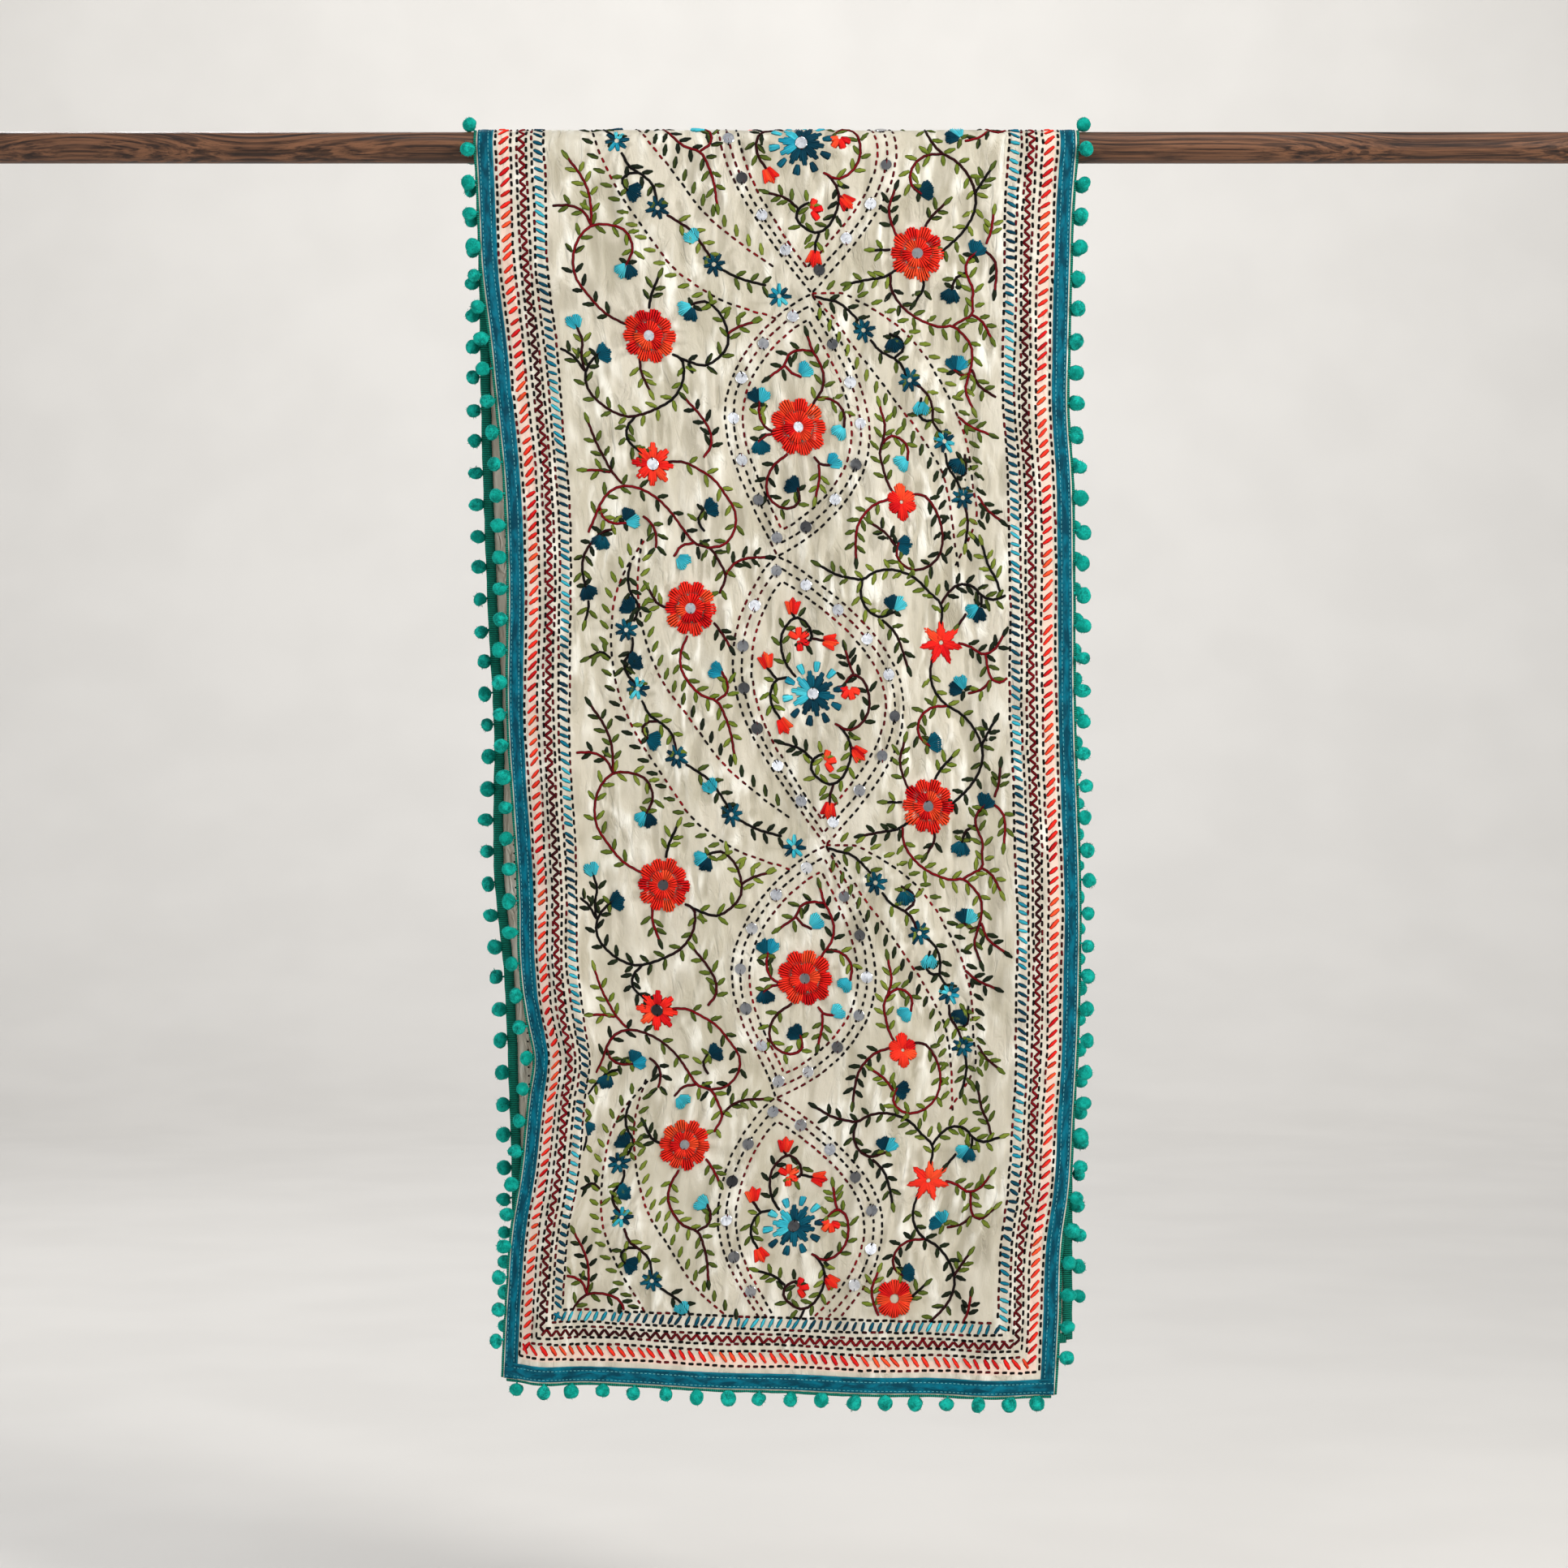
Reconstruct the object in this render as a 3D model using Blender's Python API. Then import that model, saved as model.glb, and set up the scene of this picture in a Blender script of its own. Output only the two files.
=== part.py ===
"""Embroidered stole hung over a wooden rod, with ribbon binding and a pompom trim.

Metres, +Z up. The origin is on the rod's axis at the stole's middle. The rod lies along X, the front drop
hangs on the -Y side and the back drop on the +Y side. The cloth is one sheet: a "run" is a distance along
it, 0 on top of the rod, positive down the front and negative down the back. A "place" is a position across
it, -1 at the left edge and 1 at the right, measured along the cloth.
"""

from typing import NamedTuple

import bmesh
import bpy
import numpy as np


class Edge(NamedTuple):
    drop: float
    left: float
    right: float


class Fold(NamedTuple):
    at_top: float
    at_hem: float
    spread: float
    depth: float
    starts: float
    fullest: float


class Drop(NamedTuple):
    way: int
    edges: tuple
    folds: tuple
    hem_left: float
    hem_right: float
    hem_sag: float
    lean: float
    columns: int
    last_pompom: int
    hem_pompoms: int


# Rod
ROD_RADIUS = 0.014
ROD_LENGTH = 1.500
ROD_SIDES = 32

# Cloth: wall, cut and the clearance that neighbouring pieces keep
GAP = 0.0003
CLOTH_WALL = 0.0015
CUT_WIDTH = 0.534
HALF_WALL = CLOTH_WALL / 2
TURN_RADIUS = ROD_RADIUS + GAP + HALF_WALL
QUARTER_TURN = TURN_RADIUS * np.pi / 2
SEAM_RUN = 0.034
TURN_STEPS = 12
SECTION_SAMPLES = 241
FOLDS_BEGIN = 0.22
MOST_FOLD_DEPTH = 0.020
PUCKERED_SHARE = 0.45
FOLD_AT_START = 0.25
LEANS_BY = 0.55
COLUMN_EVENNESS = 0.45
STEP = 0.0004
SHARP_ANGLE = np.radians(50.0)

# Ribbon binding, flat on the face along both sides and both hems
RIBBON_WIDTH = 0.014
RIBBON_WALL = 0.0006

# Pompom trim: a narrow strip just outside the cloth's edge, with balls on short necks
STRIP_WIDTH = 0.0022
POMPOM_PITCH = 0.028
POMPOM_RADIUS = 0.0065
POMPOM_REACH = 0.0059
ROOT_LENGTH = 0.003
RING_SHARE = 0.4
SIDE_DROOP = 0.18
OVER_ROD_OUTWARD = 0.0045
OVER_ROD_UPWARD = 0.0060

# Width at each level, from the drop below the rod's axis. The left edge swings in at 0.82 and curls back
FRONT_EDGES = (
    Edge(0.000, -0.2670, 0.2670),
    Edge(0.060, -0.2640, 0.2625),
    Edge(0.104, -0.2620, 0.2610),
    Edge(0.180, -0.2530, 0.2590),
    Edge(0.230, -0.2480, 0.2580),
    Edge(0.300, -0.2410, 0.2620),
    Edge(0.380, -0.2375, 0.2630),
    Edge(0.520, -0.2375, 0.2640),
    Edge(0.590, -0.2330, 0.2665),
    Edge(0.675, -0.2280, 0.2685),
    Edge(0.730, -0.2270, 0.2680),
    Edge(0.785, -0.2200, 0.2665),
    Edge(0.817, -0.2140, 0.2650),
    Edge(0.851, -0.2185, 0.2630),
    Edge(0.925, -0.2265, 0.2585),
    Edge(0.963, -0.2330, 0.2530),
    Edge(1.036, -0.2390, 0.2500),
    Edge(1.110, -0.2425, 0.2460),
)
BACK_EDGES = (
    Edge(0.000, -0.2670, 0.2670),
    Edge(0.100, -0.2650, 0.2610),
    Edge(0.260, -0.2620, 0.2590),
    Edge(0.425, -0.2560, 0.2600),
    Edge(0.510, -0.2515, 0.2605),
    Edge(0.647, -0.2510, 0.2620),
    Edge(0.730, -0.2425, 0.2630),
    Edge(0.850, -0.2375, 0.2635),
    Edge(0.907, -0.2355, 0.2635),
    Edge(1.090, -0.2360, 0.2630),
)

# Soft folds: where each runs across the width, from 0 at the left edge to 1 at the right, its half
# width, its share of the depth, and the drops where it starts and is fullest
FRONT_FOLDS = (
    Fold(0.080, 0.072, 0.0165, 1.00, 0.20, 0.80),
    Fold(0.330, 0.385, 0.0360, 0.42, 0.25, 1.00),
    Fold(0.610, 0.660, 0.0400, 0.62, 0.10, 0.60),
    Fold(0.905, 0.880, 0.0270, 0.80, 0.15, 0.95),
)
BACK_FOLDS = (
    Fold(0.120, 0.150, 0.0300, 0.70, 0.10, 0.70),
    Fold(0.400, 0.360, 0.0400, 1.00, 0.20, 0.90),
    Fold(0.640, 0.600, 0.0350, 0.60, 0.30, 1.00),
    Fold(0.870, 0.840, 0.0300, 0.85, 0.15, 0.80),
)
FRONT = Drop(-1, FRONT_EDGES, FRONT_FOLDS, 1.0945, 1.1100, 0.003, 0.006, 14, 39, 18)
BACK = Drop(1, BACK_EDGES, BACK_FOLDS, 1.0920, 1.0670, 0.003, 0.003, 12, 38, 18)


def eased(share):
    """Rises from 0 to 1 with level ends."""
    share = np.clip(share, 0.0, 1.0)
    return share * share * (3.0 - 2.0 * share)


def curve_through(stations, values, at):
    """A smooth line through a table: each stretch is a cubic that leaves its ends at the table's slopes."""
    stations, values = np.asarray(stations), np.asarray(values)
    slopes = np.gradient(values, stations)
    i = np.clip(np.searchsorted(stations, at) - 1, 0, len(stations) - 2)
    span = stations[i + 1] - stations[i]
    t = np.clip((at - stations[i]) / span, 0.0, 1.0)
    rise = t * t * (3.0 - 2.0 * t)
    leaving = span * t * (1.0 - t) ** 2 * slopes[i]
    arriving = span * t * t * (1.0 - t) * slopes[i + 1]
    return values[i] * (1.0 - rise) + values[i + 1] * rise + leaving - arriving


def hem_length(drop, places):
    """The drop's length at each place: level from corner to corner, with a slight sag between them."""
    share = (places + 1.0) / 2.0
    straight = drop.hem_left + (drop.hem_right - drop.hem_left) * share
    return straight + drop.hem_sag * np.sin(np.pi * np.clip(share, 0.0, 1.0))


def middle_length(drop):
    return (drop.hem_left + drop.hem_right) / 2.0


def hem_run(drop):
    return QUARTER_TURN + middle_length(drop)


def drop_sections(drop, levels):
    """Level cuts through a drop, a row for each: places across it, depth off the rod's tangent, and length.

    The folds are bell-shaped ridges. Their common depth is found by halving, so that a narrower section,
    measured along its ridges, keeps the cut's width apart from what fine puckers take up.
    """
    drops = [edge.drop for edge in drop.edges]
    left = curve_through(drops, [edge.left for edge in drop.edges], levels)
    right = curve_through(drops, [edge.right for edge in drop.edges], levels)
    width = right - left
    share = np.linspace(0.0, 1.0, SECTION_SAMPLES)
    across = left[:, None] + width[:, None] * share
    down = np.clip(levels / middle_length(drop), 0.0, 1.0)
    ridges = np.zeros_like(across)
    for fold in drop.folds:
        centre = fold.at_top + (fold.at_hem - fold.at_top) * down
        away = (share[None, :] - centre[:, None]) * width[:, None] / fold.spread
        rise = eased((levels - fold.starts) / (fold.fullest - fold.starts))
        rise = FOLD_AT_START + (1.0 - FOLD_AT_START) * rise
        ridges += fold.depth * rise[:, None] * np.exp(-away * away / 2.0)
    spare = (CUT_WIDTH - width) * (1.0 - PUCKERED_SHARE) * eased(levels / FOLDS_BEGIN)
    wanted = width + np.maximum(spare, 0.0)
    low, high = np.zeros_like(levels), np.full_like(levels, MOST_FOLD_DEPTH)
    for _ in range(24):
        middle = (low + high) / 2.0
        steps = np.hypot(np.diff(across), np.diff(ridges) * middle[:, None])
        short = steps.sum(axis=1) < wanted
        low, high = np.where(short, middle, low), np.where(short, high, middle)
    depth = ridges * low[:, None]
    steps = np.hypot(np.diff(across), np.diff(depth))
    along = np.concatenate([np.zeros((len(levels), 1)), np.cumsum(steps, axis=1)], axis=1)
    return across, depth, along


def drop_points(drop, shares, places):
    """Middle surface of a drop. A share is 0 at the rod's tangent and 1 at the hem."""
    levels = shares * middle_length(drop)
    across, depth, along = drop_sections(drop, levels)
    lean = drop.lean * eased(levels / LEANS_BY)
    spot = (places + 1.0) / 2.0
    points = np.zeros((len(shares), len(places), 3))
    for row in range(len(shares)):
        wanted = spot * along[row, -1]
        points[row, :, 0] = np.interp(wanted, along[row], across[row])
        forward = TURN_RADIUS + lean[row] + np.interp(wanted, along[row], depth[row])
        points[row, :, 1] = drop.way * forward
    points[:, :, 2] = -shares[:, None] * hem_length(drop, places)[None, :]
    return points


def turn_points(runs, places):
    """Middle surface of the half turn over the rod, of the cut's full width."""
    angle = runs / TURN_RADIUS
    points = np.zeros((len(runs), len(places), 3))
    points[:, :, 0] = places[None, :] * CUT_WIDTH / 2.0
    points[:, :, 1] = -TURN_RADIUS * np.sin(angle)[:, None]
    points[:, :, 2] = TURN_RADIUS * np.cos(angle)[:, None]
    return points


def cloth_points(runs, places):
    runs, places = np.asarray(runs, float), np.asarray(places, float)
    points = turn_points(runs, places)
    for drop in (FRONT, BACK):
        past = -drop.way * runs - QUARTER_TURN
        rows = past > 0.0
        if rows.any():
            points[rows] = drop_points(drop, past[rows] / middle_length(drop), places)
    return points


def unit(vectors):
    return vectors / np.linalg.norm(vectors, axis=-1, keepdims=True)


def cloth_frame(runs, places):
    """Points of the middle surface, with the directions across it, along it and out of its face."""
    runs, places = np.asarray(runs, float), np.asarray(places, float)
    nudge = STEP / (CUT_WIDTH / 2.0)
    lower, upper = np.maximum(places - nudge, -1.0), np.minimum(places + nudge, 1.0)
    across = unit(cloth_points(runs, upper) - cloth_points(runs, lower))
    along = unit(cloth_points(runs + STEP, places) - cloth_points(runs - STEP, places))
    face = unit(np.cross(along, across))
    return cloth_points(runs, places), across, along, face


def new_object(name, mesh, material):
    mesh.materials.append(material)
    thing = bpy.data.objects.new(name, mesh)
    bpy.context.scene.collection.objects.link(thing)
    return thing


def closed_mesh(name, points, faces):
    """A closed mesh with its faces turned outward."""
    mesh = bpy.data.meshes.new(name)
    mesh.from_pydata([tuple(p) for p in points], [], faces)
    work = bmesh.new()
    work.from_mesh(mesh)
    bmesh.ops.recalc_face_normals(work, faces=work.faces)
    work.to_mesh(mesh)
    work.free()
    return mesh


def wall(name, material, outer, inner):
    """A closed wall between two grids of points, both split into triangles along the same diagonals."""
    rows, columns = outer.shape[:2]
    points = np.concatenate([outer.reshape(-1, 3), inner.reshape(-1, 3)])
    under = rows * columns

    def at(row, column, side=0):
        return row * columns + column + side * under

    faces = []
    for row in range(rows - 1):
        for column in range(columns - 1):
            for side in (0, 1):
                near, far = at(row, column, side), at(row + 1, column + 1, side)
                faces.append((near, at(row, column + 1, side), far))
                faces.append((near, far, at(row + 1, column, side)))
    rim = [(0, column) for column in range(columns - 1)]
    rim += [(row, columns - 1) for row in range(rows - 1)]
    rim += [(rows - 1, column) for column in range(columns - 1, 0, -1)]
    rim += [(row, 0) for row in range(rows - 1, 0, -1)]
    for here, there in zip(rim, rim[1:] + rim[:1]):
        faces.append((at(*here), at(*there), at(*there, 1)))
        faces.append((at(*here), at(*there, 1), at(*here, 1)))
    mesh = closed_mesh(name, points, faces)
    mesh.shade_smooth()
    mesh.set_sharp_from_angle(angle=SHARP_ANGLE)
    return new_object(name, mesh, material)


def drop_rows(drop):
    """Runs of a drop's rows: its seam, a row at each pompom's root, the ribbon's inner line and the hem."""
    roots = [k * POMPOM_PITCH - ROOT_LENGTH / 2.0 for k in range(2, drop.last_pompom + 1)]
    ends = [hem_run(drop) - RIBBON_WIDTH, hem_run(drop)]
    return np.sort(-drop.way * np.array([SEAM_RUN + GAP, *roots, *ends]))


def turn_rows():
    curved = np.linspace(-QUARTER_TURN, QUARTER_TURN, TURN_STEPS + 1)
    return np.array([-SEAM_RUN, *curved, SEAM_RUN])


def columns_of(count):
    """Places of the columns: both edges, the ribbons' inner lines, and closer rows beside those."""
    even = np.linspace(-1.0, 1.0, count + 1)
    crowded = np.sin(np.pi * even / 2.0)
    inner = 1.0 - 2.0 * RIBBON_WIDTH / CUT_WIDTH
    spread = inner * (COLUMN_EVENNESS * even + (1.0 - COLUMN_EVENNESS) * crowded)
    return np.array([-1.0, *spread, 1.0])


def build_cloth(material):
    stretches = (
        ("cloth_front", drop_rows(FRONT), columns_of(FRONT.columns)),
        ("cloth_over_rod", turn_rows(), columns_of(4)),
        ("cloth_back", drop_rows(BACK), columns_of(BACK.columns)),
    )
    for name, runs, places in stretches:
        points, _, _, face = cloth_frame(runs, places)
        wall(name, material, points + face * HALF_WALL, points - face * HALF_WALL)


def ribbon(name, material, runs, places):
    """A flat strip on the face, made from the cloth's own rows and moved out."""
    points, _, _, face = cloth_frame(runs, places)
    low = HALF_WALL + GAP
    wall(name, material, points + face * (low + RIBBON_WALL), points + face * low)


def build_ribbons(material):
    whole = np.concatenate([drop_rows(BACK)[:-1], turn_rows(), drop_rows(FRONT)[1:]])
    front_columns = columns_of(FRONT.columns)[1:-1]
    back_columns = columns_of(BACK.columns)[1:-1]
    inner = front_columns[-1]
    ribbon("ribbon_left", material, whole, [-1.0, -inner])
    ribbon("ribbon_right", material, whole, [inner, 1.0])
    clear = GAP / (CUT_WIDTH / 2.0)
    for columns in (front_columns, back_columns):
        columns[0] += clear
        columns[-1] -= clear
    ribbon("ribbon_front_hem", material, drop_rows(FRONT)[-2:], front_columns)
    ribbon("ribbon_back_hem", material, drop_rows(BACK)[:2], back_columns)


def at_stations(rows, lengths, stations):
    """Rows of vectors read between their own lengths."""
    return np.stack([np.interp(stations, lengths, rows[:, k]) for k in range(3)], axis=1)


def trim(name, material, line, outward, face, roots, reach):
    """Strip along a line of points, with a ball of four-cornered rings grown out of its side at each root.

    roots are distances along the line, and reach gives the way from a root to its ball's middle.
    """
    lengths = np.concatenate([[0.0], np.cumsum(np.linalg.norm(np.diff(line, axis=0), axis=1))])
    starts = np.asarray(roots) - ROOT_LENGTH / 2.0
    ends = starts + ROOT_LENGTH
    corners = [x for x in lengths if np.abs(np.concatenate([starts, ends]) - x).min() > STEP]
    stations = np.sort(np.concatenate([starts, ends, corners]))
    middle = at_stations(line, lengths, stations)
    out = unit(at_stations(outward, lengths, stations))
    up = unit(at_stations(face, lengths, stations)) * HALF_WALL
    near, far = middle + out * GAP, middle + out * (GAP + STRIP_WIDTH)
    points = list(np.stack([near + up, far + up, far - up, near - up], axis=1).reshape(-1, 3))
    faces = [(3, 2, 1, 0)]
    for i in range(len(stations) - 1):
        a, b = 4 * i, 4 * i + 4
        rooted = np.isclose(starts, stations[i]).any()
        for k in range(4):
            n = (k + 1) % 4
            if k == 1 and rooted:
                continue
            faces.append((a + k, a + n, b + n, b + k))
        if rooted:
            root = (a + 1, b + 1, b + 2, a + 2)
            add_pompom(points, faces, root, reach(out[i], up[i] / HALF_WALL, middle[i]))
    last = 4 * (len(stations) - 1)
    faces.append((last, last + 1, last + 2, last + 3))
    return new_object(name, closed_mesh(name, points, faces), material)


def add_pompom(points, faces, root, way):
    """Grows a ball out of a four-cornered hole: two rings, the second turned by half a corner, and a tip."""
    corners = np.array([points[i] for i in root])
    start = corners.mean(axis=0)
    axis = unit(way)
    centre = start + way
    ring_radius = POMPOM_RADIUS * np.sqrt(1.0 - RING_SHARE**2)
    spokes = corners - start
    spokes = spokes - (spokes @ axis)[:, None] * axis
    side = unit(spokes[0] - spokes[1] + spokes[3] - spokes[2])
    other = np.cross(axis, side)
    if (spokes[0] - spokes[3]) @ other < 0.0:
        other = -other
    diagonal = np.sqrt(0.5)
    square = [diagonal * (a * side + b * other) for a, b in ((1, 1), (-1, 1), (-1, -1), (1, -1))]
    turned = [side, other, -side, -other]
    first = len(points)
    points += [centre - axis * POMPOM_RADIUS * RING_SHARE + spoke * ring_radius for spoke in square]
    points += [centre + axis * POMPOM_RADIUS * RING_SHARE + spoke * ring_radius for spoke in turned]
    points.append(centre + axis * POMPOM_RADIUS)
    for k in range(4):
        n = (k + 1) % 4
        faces.append((root[k], root[n], first + n, first + k))
        faces.append((first + k, first + n, first + 4 + n))
        faces.append((first + k, first + 4 + n, first + 4 + k))
        faces.append((first + 4 + k, first + 4 + n, first + 8))


def hanging(droop):
    """The way to a ball that hangs out from its strip and a little down."""

    def reach(out, face, spot):
        return unit(out + np.array([0.0, 0.0, -droop])) * POMPOM_REACH

    return reach


def lying_on_rod(out, face, spot):
    """The way to a ball that lies on the rod beside the cloth."""
    return out * OVER_ROD_OUTWARD + face * OVER_ROD_UPWARD


def side_trim(name, material, runs, side, pompom_runs, reach):
    points, across, _, face = cloth_frame(runs, [side])
    line = points[:, 0]
    lengths = np.concatenate([[0.0], np.cumsum(np.linalg.norm(np.diff(line, axis=0), axis=1))])
    roots = np.interp(pompom_runs, runs, lengths)
    trim(name, material, line, across[:, 0] * side, face[:, 0], roots, reach)


def hem_trim(name, material, drop, places):
    points, _, along, face = cloth_frame([-drop.way * hem_run(drop)], places)
    line = points[0]
    total = np.linalg.norm(np.diff(line, axis=0), axis=1).sum()
    roots = (np.arange(drop.hem_pompoms) + 0.5) * total / drop.hem_pompoms
    trim(name, material, line, along[0] * -drop.way, face[0], roots, hanging(SIDE_DROOP))


def build_trims(material):
    for side, word in ((-1.0, "left"), (1.0, "right")):
        for drop, stretch in ((FRONT, "front"), (BACK, "back")):
            counts = np.arange(2, drop.last_pompom + 1)
            pompom_runs = np.sort(-drop.way * counts * POMPOM_PITCH)
            runs = drop_rows(drop)
            side_trim(f"trim_{stretch}_{word}", material, runs, side, pompom_runs, hanging(SIDE_DROOP))
        over = np.array([-POMPOM_PITCH, 0.0, POMPOM_PITCH])
        side_trim(f"trim_over_{word}", material, turn_rows(), side, over, lying_on_rod)
    hem_trim("trim_front_hem", material, FRONT, columns_of(FRONT.columns))
    hem_trim("trim_back_hem", material, BACK, columns_of(BACK.columns))


def build_rod(material):
    work = bmesh.new()
    bmesh.ops.create_cone(
        work, cap_ends=True, segments=ROD_SIDES, radius1=ROD_RADIUS, radius2=ROD_RADIUS, depth=ROD_LENGTH
    )
    mesh = bpy.data.meshes.new("rod")
    work.to_mesh(mesh)
    work.free()
    mesh.shade_smooth()
    mesh.set_sharp_from_angle(angle=SHARP_ANGLE)
    rod = new_object("rod", mesh, material)
    rod.rotation_euler = (0.0, np.pi / 2.0, 0.0)
    return rod


def plain_material(name, colour, roughness):
    material = bpy.data.materials.new(name)
    material.use_nodes = True
    shader = material.node_tree.nodes["Principled BSDF"]
    shader.inputs["Base Color"].default_value = (*colour, 1.0)
    shader.inputs["Roughness"].default_value = roughness
    shader.inputs["Metallic"].default_value = 0.0
    return material


def main():
    for thing in list(bpy.data.objects):
        bpy.data.objects.remove(thing)
    build_rod(plain_material("walnut", (0.10, 0.045, 0.026), 0.5))
    build_cloth(plain_material("ivory_silk", (0.72, 0.66, 0.54), 0.45))
    build_ribbons(plain_material("teal_ribbon", (0.0, 0.14, 0.21), 0.5))
    build_trims(plain_material("green_wool", (0.007, 0.36, 0.28), 0.9))


main()
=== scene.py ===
"""Embroidered silk stole hung over a wooden rod: cloth, stitching, ribbon, braid, pompoms and mirrors.

Metres, +Z up. The rod lies along X through the origin, the front drop hangs on the -Y side and the back drop
on the +Y side. The cloth is one sheet: a "run" is a distance along it, 0 on top of the rod, positive down the
front and negative down the back. A "place" is a position across it, -1 at the left edge and 1 at the right.
The needlework is laid out flat, in millimetres: x across the cut cloth, run along it, then carried onto it.
"""

from typing import NamedTuple

import bmesh
import bpy
import numpy as np
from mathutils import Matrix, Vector


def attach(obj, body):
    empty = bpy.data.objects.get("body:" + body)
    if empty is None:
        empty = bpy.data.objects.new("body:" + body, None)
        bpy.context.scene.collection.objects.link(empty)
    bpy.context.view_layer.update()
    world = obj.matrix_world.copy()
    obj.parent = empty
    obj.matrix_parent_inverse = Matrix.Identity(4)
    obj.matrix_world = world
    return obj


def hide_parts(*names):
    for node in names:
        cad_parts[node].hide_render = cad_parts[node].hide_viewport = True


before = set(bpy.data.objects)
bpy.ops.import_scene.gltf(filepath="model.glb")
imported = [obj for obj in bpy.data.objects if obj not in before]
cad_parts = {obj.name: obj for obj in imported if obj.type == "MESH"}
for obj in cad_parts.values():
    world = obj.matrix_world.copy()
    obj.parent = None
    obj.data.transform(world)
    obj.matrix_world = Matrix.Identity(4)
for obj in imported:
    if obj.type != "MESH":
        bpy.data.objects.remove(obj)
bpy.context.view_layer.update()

MM = 0.001


class Edge(NamedTuple):
    drop: float
    left: float
    right: float


class Fold(NamedTuple):
    at_top: float
    at_hem: float
    spread: float
    depth: float
    starts: float
    fullest: float


class Drop(NamedTuple):
    way: int
    edges: tuple
    folds: tuple
    hem_left: float
    hem_right: float
    hem_sag: float
    lean: float
    last_pompom: int
    hem_pompoms: int


class Crease(NamedTuple):
    x_start: float
    run_start: float
    x_end: float
    run_end: float
    spread: float
    height: float


class Patch(NamedTuple):
    x: float
    run: float
    reach_x: float
    reach_run: float
    strength: float


# Rod and cloth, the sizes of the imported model
ROD_RADIUS = 0.014
ROD_LENGTH = 1.500
GAP = 0.0003
CLOTH_WALL = 0.0015
CUT_WIDTH = 0.534
TURN_RADIUS = ROD_RADIUS + GAP + CLOTH_WALL / 2
QUARTER_TURN = TURN_RADIUS * np.pi / 2
SECTION_SAMPLES = 481
HALVINGS = 24
FOLDS_BEGIN = 0.22
MOST_FOLD_DEPTH = 0.020
PUCKERED_SHARE = 0.45
FOLD_AT_START = 0.25
LEANS_BY = 0.55
STEP = 0.0004
STRIP_WIDTH = 0.0022
POMPOM_PITCH = 0.028
POMPOM_RADIUS = 0.0065
POMPOM_REACH = 0.0059
SIDE_DROOP = 0.18
OVER_ROD_OUTWARD = 0.0045
OVER_ROD_UPWARD = 0.0060

# Silk: a thin sheet along the wall's middle, with its rows closer together on the front
SILK_THICKNESS = 0.0006
SILK_COLUMNS = 204
TURN_ROWS = 24
FRONT_ROWS = 212
BACK_ROWS = 120
SHARP_ANGLE = np.radians(50.0)
RIM_ANGLE = np.radians(15.0)

FRONT_EDGES = [Edge(*row) for row in (
    (0.000, -0.2670, 0.2670), (0.060, -0.2640, 0.2625), (0.104, -0.2620, 0.2610),
    (0.180, -0.2530, 0.2590), (0.230, -0.2480, 0.2580), (0.300, -0.2410, 0.2620),
    (0.380, -0.2375, 0.2630), (0.520, -0.2375, 0.2640), (0.590, -0.2330, 0.2665),
    (0.675, -0.2280, 0.2685), (0.730, -0.2270, 0.2680), (0.785, -0.2200, 0.2665),
    (0.817, -0.2140, 0.2650), (0.851, -0.2185, 0.2630), (0.925, -0.2265, 0.2585),
    (0.963, -0.2330, 0.2530), (1.036, -0.2390, 0.2500), (1.110, -0.2425, 0.2460),
)]
BACK_EDGES = [Edge(*row) for row in (
    (0.000, -0.2670, 0.2670), (0.100, -0.2650, 0.2610), (0.260, -0.2620, 0.2590),
    (0.425, -0.2560, 0.2600), (0.510, -0.2515, 0.2605), (0.647, -0.2510, 0.2620),
    (0.730, -0.2425, 0.2630), (0.850, -0.2375, 0.2635), (0.907, -0.2355, 0.2635),
    (1.090, -0.2360, 0.2630),
)]
FRONT_FOLDS = (
    Fold(0.080, 0.072, 0.0165, 1.00, 0.20, 0.80),
    Fold(0.330, 0.385, 0.0360, 0.42, 0.25, 1.00),
    Fold(0.610, 0.660, 0.0400, 0.62, 0.10, 0.60),
    Fold(0.905, 0.880, 0.0270, 0.80, 0.15, 0.95),
)
BACK_FOLDS = (
    Fold(0.120, 0.150, 0.0300, 0.70, 0.10, 0.70),
    Fold(0.400, 0.360, 0.0400, 1.00, 0.20, 0.90),
    Fold(0.640, 0.600, 0.0350, 0.60, 0.30, 1.00),
    Fold(0.870, 0.840, 0.0300, 0.85, 0.15, 0.80),
)
FRONT = Drop(-1, FRONT_EDGES, FRONT_FOLDS, 1.0945, 1.1100, 0.003, 0.006, 39, 18)
BACK = Drop(1, BACK_EDGES, BACK_FOLDS, 1.0920, 1.0670, 0.003, 0.003, 38, 18)

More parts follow.
